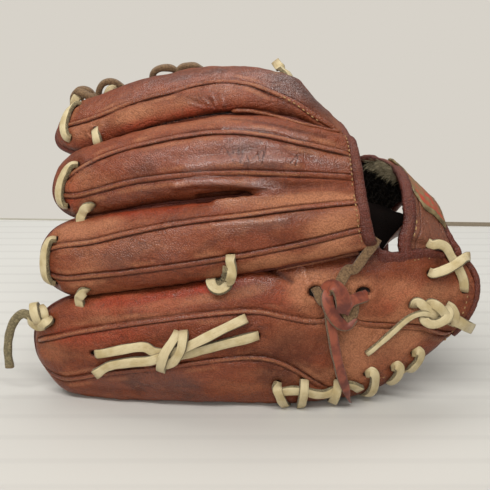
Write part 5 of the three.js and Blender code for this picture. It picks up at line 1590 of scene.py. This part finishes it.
def leather_group():
    """Worn leather: blotched colour, pores, fine creases, and the paint masks laid over them."""
    tree, n, given, out = group(
        "worn_leather",
        [("Base", "Color", tone(150, 80, 60)), ("Deep", "Color", tone(90, 42, 34)),
         ("Worn", "Color", tone(190, 130, 100)), ("Stain", "Color", tone(200, 84, 56)),
         ("Mottling", "Float", 1.0), ("Grain", "Float", 1.0), ("Rough", "Float", 0.5),
         ("Gloss", "Float", 1.0)],
        [("Colour", "Color"), ("Roughness", "Float"), ("Normal", "Vector"), ("Shine", "Float")],
    )
    where, (dark, worn, stain, gloss) = n.where(), n.masks()
    along = n.add("ShaderNodeMapping", {"Vector": where, "Scale": (0.45, 1, 1)}).outputs[0]
    cloud, blotch = n.noise(along, 34, 3, 0.55, 0.5), n.noise(along, 75, 4, 0.6, 0.6)
    mottle, fine = n.noise(where, 300, 3, 0.6), n.noise(where, 1300, 2, 0.6)
    pebbles = n.add("ShaderNodeTexVoronoi", {"Vector": where, "Scale": 1050.0, "Randomness": 1.0})
    pit = n.ramp(pebbles.outputs["Distance"], 0.3, 0.8)
    ridged = n.math("ABSOLUTE", n.minus(n.noise(along, 190, 2, 0.5, 0.7), 0.5))
    folded = n.ramp(n.noise(where, 30, 2, 0.5), 0.5, 0.66)
    furrow = n.times(n.ramp(ridged, 0.022, 0.0), folded)
    # Colour: clouds of wear and of red over the base, then the paint masks, then pits and creases.
    shade = n.times(n.ramp(blotch, 0.44, 0.68), given["Mottling"])
    colour = n.mix(n.times(shade, 0.42), given["Base"], given["Deep"])
    rubbed = n.times(n.ramp(cloud, 0.48, 0.7), given["Mottling"])
    colour = n.mix(n.times(rubbed, 0.34), colour, given["Worn"])
    colour = n.mix(n.times(stain, n.ramp(mottle, 0.1, 0.6)), colour, given["Stain"])
    uneven = n.times(n.minus(blotch, 0.5), 0.6)
    colour = n.mix(n.times(n.ramp(n.plus(worn, uneven), 0.1, 0.85), 0.8), colour, given["Worn"])
    # The dark mask: darker leather, and painted shade in grooves, creases, cracks, gaps and holes.
    colour = n.mix(n.times(n.ramp(n.plus(dark, uneven), 0.1, 0.95), 0.9), colour, given["Deep"])
    colour = n.mix(n.times(n.ramp(mottle, 0.5, 0.74), 0.15), colour, given["Worn"])
    colour = n.mix(n.times(n.ramp(mottle, 0.5, 0.28), 0.22), colour, given["Deep"])
    colour = n.mix(n.times(pit, 0.34), colour, given["Deep"])
    colour = n.mix(n.times(n.ramp(fine, 0.5, 0.75), 0.16), colour, given["Worn"])
    # The fine creases are darkened: painted shade.
    colour = n.mix(n.times(furrow, 0.45), colour, given["Deep"])
    # Where the dark mask nears 1, holes and crevices are painted black: painted shade.
    colour = n.mix(n.ramp(dark, 0.84, 0.98), colour, tone(20, 11, 9))
    n.join(out["Colour"], colour)
    # Roughness: rubbed leather is matt; the gloss mask and broad patches shine.
    rough = n.plus(given["Rough"], n.times(worn, 0.12))
    rough = n.plus(rough, n.times(n.minus(mottle, 0.5), 0.3))
    rough = n.minus(rough, n.times(gloss, 0.1), clamp=True)
    n.join(out["Roughness"], rough)
    polished = n.plus(n.times(n.ramp(cloud, 0.55, 0.4), 0.12), gloss)
    shine = n.times(polished, n.minus(0.95, n.times(worn, 0.8)), clamp=True)
    n.join(out["Shine"], n.times(shine, given["Gloss"]))
    # Relief: pits and fine creases.
    height = n.minus(n.times(fine, 0.5), n.times(pit, 0.9))
    height = n.plus(height, n.times(mottle, 0.5))
    height = n.minus(height, furrow)
    n.join(out["Normal"], n.bump(n.times(height, given["Grain"]), 0.75, 0.0003))
    return tree


def finish_material(name, sockets, build):
    """A material with one Principled shader: fixed sockets are set, the rest come from build."""
    made = bpy.data.materials.new(name)
    made.use_nodes = True
    n = Nodes(made.node_tree)
    shader = made.node_tree.nodes["Principled BSDF"]
    for key, value in sockets.items():
        shader.inputs[key].default_value = value
    build(n, shader.inputs)
    return made


LEATHER_GROUP = leather_group()


def leather(name, base, deep, worn, stain, rough=0.5, mottling=1.0, grain=1.0, gloss=1.0, specular=0.5):
    """A leather in its four colours as on a screen: plain, dark, worn and stained."""
    def build(n, shader):
        inputs = {"Rough": rough, "Mottling": mottling, "Grain": grain, "Gloss": gloss}
        for key, colour in zip(("Base", "Deep", "Worn", "Stain"), (base, deep, worn, stain)):
            inputs[key] = tone(*colour)
        made = n.add("ShaderNodeGroup", inputs, node_tree=LEATHER_GROUP).outputs
        for socket, output in (
            ("Base Color", "Colour"), ("Roughness", "Roughness"), ("Normal", "Normal"),
            ("Coat Weight", "Shine"), ("Coat Normal", "Normal"),
        ):
            n.join(shader[socket], made[output])

    sockets = {"Coat Roughness": 0.2, "Coat IOR": 1.55, "IOR": 1.38, "Specular IOR Level": specular}
    return finish_material(name, sockets, build)


def rawhide_material():
    """Cream lace: smooth and slightly stained on its face, grey-green and fibrous where it is cut."""
    def build(n, shader):
        where, (cut, ends, *_) = n.where(), n.masks()
        flow = n.add("ShaderNodeAttribute", attribute_name="flow").outputs["Vector"]
        blotch, fibre = n.noise(where, 90, 4, 0.6), n.noise(where, 900, 3, 0.7)
        stretched = n.add("ShaderNodeMapping", {"Vector": flow, "Scale": (0.12, 1.4, 1.4)}).outputs[0]
        crack = n.noise(stretched, 1.6, 4, 0.6, 0.3)
        face = n.mix(n.ramp(blotch, 0.4, 0.7), tone(202, 186, 146), tone(180, 160, 114))
        face = n.mix(n.times(n.ramp(crack, 0.55, 0.75), 0.45), face, tone(134, 108, 68))
        side = n.mix(n.ramp(fibre, 0.35, 0.7), tone(96, 86, 62), tone(148, 134, 100))
        mask = n.plus(cut, n.times(n.minus(fibre, 0.5), 0.5), clamp=True)
        colour = n.mix(n.ramp(mask, 0.2, 0.85), face, side)
        colour = n.mix(n.times(ends, 0.5), colour, tone(122, 96, 62))
        rough = n.plus(0.52, n.times(mask, 0.35), clamp=True)
        n.surface(shader, colour, rough, n.plus(n.times(fibre, n.plus(mask, 0.25)), crack), 0.5, 0.0004)

    return finish_material("rawhide_lace", {"IOR": 1.46, "Sheen Weight": 0.1}, build)


def suede_material():
    """Thong leather: red-brown and rubbed on its face, grey-brown suede on its cut sides."""
    def build(n, shader):
        where, (cut, *_) = n.where(), n.masks()
        blotch, fibre = n.noise(where, 110, 5, 0.62, 0.4), n.noise(where, 1000, 3, 0.7)
        face = n.mix(n.ramp(blotch, 0.36, 0.66), tone(146, 74, 50), tone(96, 42, 30))
        side = n.mix(n.ramp(fibre, 0.3, 0.7), tone(80, 58, 38), tone(134, 106, 74))
        mask = n.ramp(n.plus(cut, n.times(n.minus(fibre, 0.5), 0.5)), 0.2, 0.8)
        rough = n.plus(0.5, n.times(mask, 0.4), clamp=True)
        height = n.plus(n.times(fibre, n.plus(mask, 0.2)), blotch)
        n.surface(shader, n.mix(mask, face, side), rough, height, 0.6, 0.0004)

    return finish_material("suede_thong", {"IOR": 1.46, "Sheen Weight": 0.15}, build)


def fleece_material():
    """Wool pile in pale and darker clumps, nearly black where the first mask paints shade."""
    def build(n, shader):
        where, (under_strap_shade, *_) = n.where(), n.masks()
        clump, fibre = n.noise(where, 220, 4, 0.6), n.noise(where, 1400, 3, 0.7, 0.8)
        colour = n.mix(n.ramp(clump, 0.35, 0.7), tone(160, 146, 116), tone(104, 92, 68))
        colour = n.mix(n.times(n.ramp(fibre, 0.45, 0.7), 0.6), colour, tone(190, 178, 146))
        colour = n.mix(n.times(under_strap_shade, 0.97), colour, tone(16, 9, 7))
        n.surface(shader, colour, n.plus(0.8, n.times(fibre, 0.2), clamp=True), fibre, 0.9, 0.0008)

    return finish_material("fleece_pile", {"Sheen Weight": 0.1, "IOR": 1.4, "Specular IOR Level": 0.1}, build)


def thread_material():
    def build(n, shader):
        where = n.where()
        ply = n.noise(where, 1500, 2, 0.6)
        colour = n.mix(n.ramp(n.noise(where, 60), 0.35, 0.65), tone(196, 158, 104), tone(150, 112, 74))
        colour = n.mix(n.times(ply, 0.5), colour, tone(96, 62, 44))
        n.surface(shader, colour, n.plus(0.55, n.times(ply, 0.3), clamp=True), ply, 0.5, 0.0002)

    return finish_material("waxed_thread", {"IOR": 1.45}, build)


def patch_material():
    """The patch: a tan leather frame round a rusty field of close twill."""
    def build(n, shader):
        where, (seam_mask, field_mask, *_) = n.where(), n.masks()
        blotch, fine = n.noise(where, 150, 4, 0.6), n.noise(where, 1100, 3, 0.7)
        twill = n.add("ShaderNodeTexWave", {"Vector": where, "Scale": 420.0, "Distortion": 1.5},
                      bands_direction="DIAGONAL").outputs["Fac"]
        border = n.mix(n.ramp(blotch, 0.35, 0.7), tone(132, 114, 76), tone(84, 68, 44))
        field = n.mix(n.ramp(blotch, 0.3, 0.62), tone(190, 62, 38), tone(140, 112, 74))
        field = n.mix(n.times(twill, 0.35), field, tone(74, 28, 22))
        colour = n.mix(seam_mask, n.mix(field_mask, border, field), tone(58, 32, 24))
        rough = n.plus(0.5, n.times(fine, 0.35), clamp=True)
        n.surface(shader, colour, rough, n.plus(n.times(twill, field_mask), fine), 0.5, 0.0003)

    return finish_material("strap_patch", {"IOR": 1.46, "Coat Weight": 0.08}, build)


BACK = leather("back_leather", (128, 62, 36), (61, 24, 13), (182, 121, 86), (170, 54, 31), rough=0.42,
    gloss=1.5, specular=0.34)
STRAP_HIDE = leather("strap_leather", (128, 76, 54), (78, 38, 26), (158, 114, 88), (170, 70, 44), rough=0.4,
    gloss=2.0)
BEAD = leather("bead_leather", (132, 66, 40), (52, 18, 10), (190, 134, 92), (190, 64, 36), rough=0.42,
    mottling=0.5, specular=0.3)
TRIM = leather("trim_leather", (96, 40, 26), (44, 15, 10), (132, 74, 50), (146, 48, 32), grain=1.6,
    rough=0.5, gloss=0.4, mottling=0.8)
POCKET = leather("pocket_leather", (146, 76, 46), (78, 34, 22), (186, 124, 84), (180, 72, 46), rough=0.48)
# The lining is near black and hardly reflects: painted shade inside the glove.
SHADE_LINING = leather("shade_black_lining", (16, 9, 7), (8, 5, 4), (34, 22, 16), (28, 14, 10), rough=0.85, grain=0.6,
    gloss=0.0, specular=0.1)
LACE_HIDE, THONG_HIDE = rawhide_material(), suede_material()
PILE, THREAD, PATCH = fleece_material(), thread_material(), patch_material()


# The glove, piece by piece.
def gusset_shades():
    """Thin leather between neighbouring fingers, a little behind their seams, from edge to edge, dark all
    over: painted shade in the gaps between the fingers.
    """
    found = []
    share = np.linspace(0, 1, 13)
    sag = 5 * np.sin(math.pi * share)[None, :, None] * (0, 1, 0)
    for upper, lower, tip in (("index", "middle", -70), ("middle", "ring", -80), ("ring", "pinky", -84)):
        x = np.linspace(tip, 60, 120)[:, None]
        near, far = (
            SKINS[skin](x, np.full_like(x, t), -2.2) for skin, t in ((upper, 0.02), (lower, 0.98))
        )
        front = mix(near, far, share[None, :, None]) + sag + (0, 1.5, 0)
        flat = np.zeros(front.shape[:-1])
        found.append(wall_shell(front, front + (0, 1.6, 0), flat, painted(flat + 0.8)))
    return found


def finger_rim(name, seed):
    """The piping between a finger's back and palm: an oval bar round the finger's outline."""
    end = BASE_X if name == "thumb" else 52.0
    tip = stations(name, TIP_ROWS, 90, np.array([end]), 0.3)[:, 0]
    x = np.concatenate([tip[:0:-1], tip])
    angle = np.repeat([-90.0, 90.0], [len(tip) - 1, len(tip)])
    at = finger_point(name, x, angle, 0.3)
    at[:, 2] = np.maximum(at[:, 2], 1.9)
    lean = np.radians(column(FINGERS[name], "lean", x))
    out = np.stack([np.zeros_like(x), -np.cos(lean), np.sin(lean)], axis=-1)
    uneven = 1 + 0.06 * ripple(at, 16, seed)[:, None] * np.ones((1, 2))
    return sweep(at, out, rounded(2.4, 3.2, 2.2, 14), uneven)


# Where the backs end at the hand opening, x at the lower and the upper edge; the heel's end is a curve.
BACK_ENDS = {"index": (63, 60), "middle": (66, 64), "ring": (71, 66), "pinky": ()}

# The last number given to each piece is the seed of its unevenness.
for number, name in enumerate(FINGERS):
    add_piece(f"{name}_rim", [finger_rim(name, 700 + number)], (TRIM,), "trim_leather")
add_piece("finger_gusset_shades", gusset_shades(), (BACK, SHADE_LINING), "back_leather")
for number, (name, ends) in enumerate(BACK_ENDS.items()):
    back = finger_back(name, ends, 10 * number + 3)
    add_piece(f"{name}_leather", [back], (BACK, SHADE_LINING), "back_leather", f"{name}_back")
add_piece("thumb_leather", [thumb_back(53)], (BACK, SHADE_LINING), "back_leather", "thumb_back")
add_piece("palm_leather", [palm(61)], (POCKET, SHADE_LINING), "palm_leather", "palm")
add_piece("web_leather", [web(71)], (POCKET, POCKET), "back_leather", "web")
add_piece("strap_leather", [strap(81)], (STRAP_HIDE, SHADE_LINING), "back_leather", "wrist_strap")
add_piece("strap_patch", [label(85)], (PATCH, PATCH), "label", "strap_label")
add_piece("strap_fleece", [strap_pad(87)], (PILE, PILE), "fleece", "strap_pad")
add_piece("fleece_tufts", fleece_tufts(88), (PILE,), "fleece")
for number, (name, (skin, rows)) in enumerate(SEAMS.items()):
    add_piece(f"{name}_bead", [welt(skin, rows, 90 + number)], (BEAD,), "trim_leather", name)
beads = [joint_bead(JOINT_BEAD, (2.9, 1.7), 99), joint_bead(HEEL_BEAD, (1.6, 3.0), 98)]
add_piece("finger_joint_bead", beads, (BEAD,), "trim_leather")
for number, (name, tables) in enumerate(LACES.items()):
    pieces = strips(tables, LACE_SEEN, LACE, 110 + 10 * number, LEANS.get(name), ROUND_ENDS.get(name, {}),
                    flesh=RAW_ENDS.get(name, ()))
    stands_for = () if name == "web_lace_bits" else (name,)
    add_piece(f"{name}_hide", pieces, (LACE_HIDE,), "rawhide", *stands_for)
for number, (name, tables) in enumerate(THONGS.items()):
    options = {}
    if name == "thong":
        options = {"sizes": THONG_SIZES, "point": THONG_POINT, "flesh": THONG_FLESH}
    elif name.startswith("web_loop_index"):
        options = {"sizes": {0: LOOP_SIZE, 1: LOOP_SIZE}, "flesh": (0, 1)}
    pieces = strips(tables, THONG_WIDTH, THONG, 410 + 10 * number, THONG_LEANS.get(name), **options)
    add_piece(f"{name}_hide", pieces, (THONG_HIDE,), "thong_leather", name)
for number, (name, strip) in enumerate(BINDINGS.items()):
    worn = STRAP_WORN if name == "strap_binding" else None
    roll = binding(strip, ROLL_WIDTHS.get(name, (ROLL_WIDTH,)), ROLL_THICK, 600 + number, worn)
    add_piece(f"{name}_roll", [roll], (TRIM,), "trim_leather", name)
add_piece("stitching", [stitch_row(*row) for row in STITCH_ROWS], (THREAD,), None)


# The table, from its near edge to its far one, and the wall behind it.
TABLE_NEAR, TABLE_HALF = -900, 1600
SHADOW_HALF = 1200


def table_edge(x):
    """The far edge of the table, which runs a little askew."""
    return TABLE_EDGE + TABLE_TURN * x


def sheet_piece(name, grid, material):
    """A sheet of the surroundings, made from a grid of points."""
    index = np.arange(grid[..., 0].size).reshape(grid.shape[:2])
    quads = np.stack([index[:-1, :-1], index[1:, :-1], index[1:, 1:], index[:-1, 1:]], axis=-1)
    mesh = bpy.data.meshes.new(name)
    mesh.from_pydata(place(grid.reshape(-1, 3)), [], quads.reshape(-1, 4).tolist())
    mesh.materials.append(material)
    return link(name, mesh)


def stage_table():
    """A flat sheet from in front of the camera to the far edge, with faint grooves along it."""
    def build(n, shader):
        where = n.where()
        ribs = n.add("ShaderNodeTexWave", {"Vector": where, "Scale": 14.0, "Distortion": 0.0},
                     bands_direction="Y").outputs["Fac"]
        depth = n.add("ShaderNodeSeparateXYZ", {"Vector": where}).outputs["Y"]
        # Darker towards the near edge: painted shade.
        colour = n.mix(n.ramp(depth, -0.5, 0.4), tone(186, 182, 175), tone(214, 213, 208))
        # The grooves are only darker lines: painted shade.
        colour = n.mix(n.times(n.ramp(ribs, 0.8, 1.0), 0.25), colour, tone(180, 177, 172))
        n.join(shader["Base Color"], colour)
        n.join(shader["Roughness"], n.plus(0.5, n.times(ribs, 0.05)))

    x, share = np.meshgrid(
        np.linspace(-TABLE_HALF, TABLE_HALF, 33), np.linspace(0, 1, 33), indexing="ij"
    )
    grid = np.stack([x, mix(TABLE_NEAR, table_edge(x), share), np.zeros_like(x)], axis=-1)
    top = sheet_piece("table_top", grid, finish_material("pale_table", {"IOR": 1.4}, build))


def stage_edge_shadow():
    """A painted shadow along the table's far edge, where it meets the wall: it widens and darkens towards the
    right.
    """
    def build(n, shader):
        side = n.add("ShaderNodeSeparateXYZ", {"Vector": n.where()}).outputs["X"]
        n.join(shader["Base Color"], n.mix(n.ramp(side, -0.2, 0.2), tone(186, 182, 168), tone(140, 128, 110)))

    x = np.linspace(-SHADOW_HALF, SHADOW_HALF, 49)
    foot = np.stack([x, table_edge(x) + 0.5, np.zeros_like(x)], axis=-1)
    upper = foot + mix(2.0, 5.0, smooth(-200, 200, x))[:, None] * (0, 0, 1)
    grid = np.stack([foot, upper], axis=1)
    edge_shadow = sheet_piece("table_edge_shadow", grid, finish_material("table_edge_shadow", {"Roughness": 0.9}, build))


stage_table()
stage_edge_shadow()


def add_camera():
    data = bpy.data.cameras.new("camera")
    data.sensor_fit, data.sensor_width = "HORIZONTAL", SENSOR
    data.lens = FOCAL / PICTURE * SENSOR
    data.clip_start, data.clip_end = 0.01, 20
    camera = link("camera", data)
    camera.location = place(np.array(EYE))
    camera.rotation_euler = (math.radians(90 - PITCH), 0, 0)
    bpy.context.scene.camera = camera


def add_light(name, at, aim, size, power, colour):
    data = bpy.data.lights.new(name, "AREA")
    data.shape, data.size, data.size_y = "RECTANGLE", *size
    data.energy, data.color = power, colour
    start, end = place(np.array(at, float)), place(np.array(aim, float))
    lamp = link(name, data)
    lamp.location = start
    lamp.rotation_euler = Vector(end - start).to_track_quat("-Z", "Y").to_euler()


add_camera()
add_light("ceiling", (-100, 500, 1350), (0, 40, 60), (2.2, 0.45), 11, (1.0, 0.99, 0.97))
add_light("tube", (-150, -560, 1150), (0, 20, 90), (1.5, 0.16), 13, (1.0, 0.99, 0.97))
add_light("front", (-300, -1400, 700), (0, 0, 80), (1.6, 1.0), 7, (1.0, 0.98, 0.95))


def add_room():
    """The pale wall is the world's colour; the light that it gives the glove is much dimmer."""
    world = bpy.data.worlds.new("room")
    world.use_nodes = True
    n = Nodes(world.node_tree)
    wall = world.node_tree.nodes["Background"]
    wall.inputs["Color"].default_value = tone(215, 210, 201)
    dim = n.add("ShaderNodeBackground", {"Color": tone(235, 233, 228), "Strength": 0.36})
    seen = n.add("ShaderNodeLightPath").outputs["Is Camera Ray"]
    both = n.add("ShaderNodeMixShader", {0: seen, 1: dim.outputs[0], 2: wall.outputs[0]})
    n.join(world.node_tree.nodes["World Output"].inputs["Surface"], both.outputs[0])
    bpy.context.scene.world = world


add_room()
bpy.context.scene.view_settings.view_transform = "Standard"
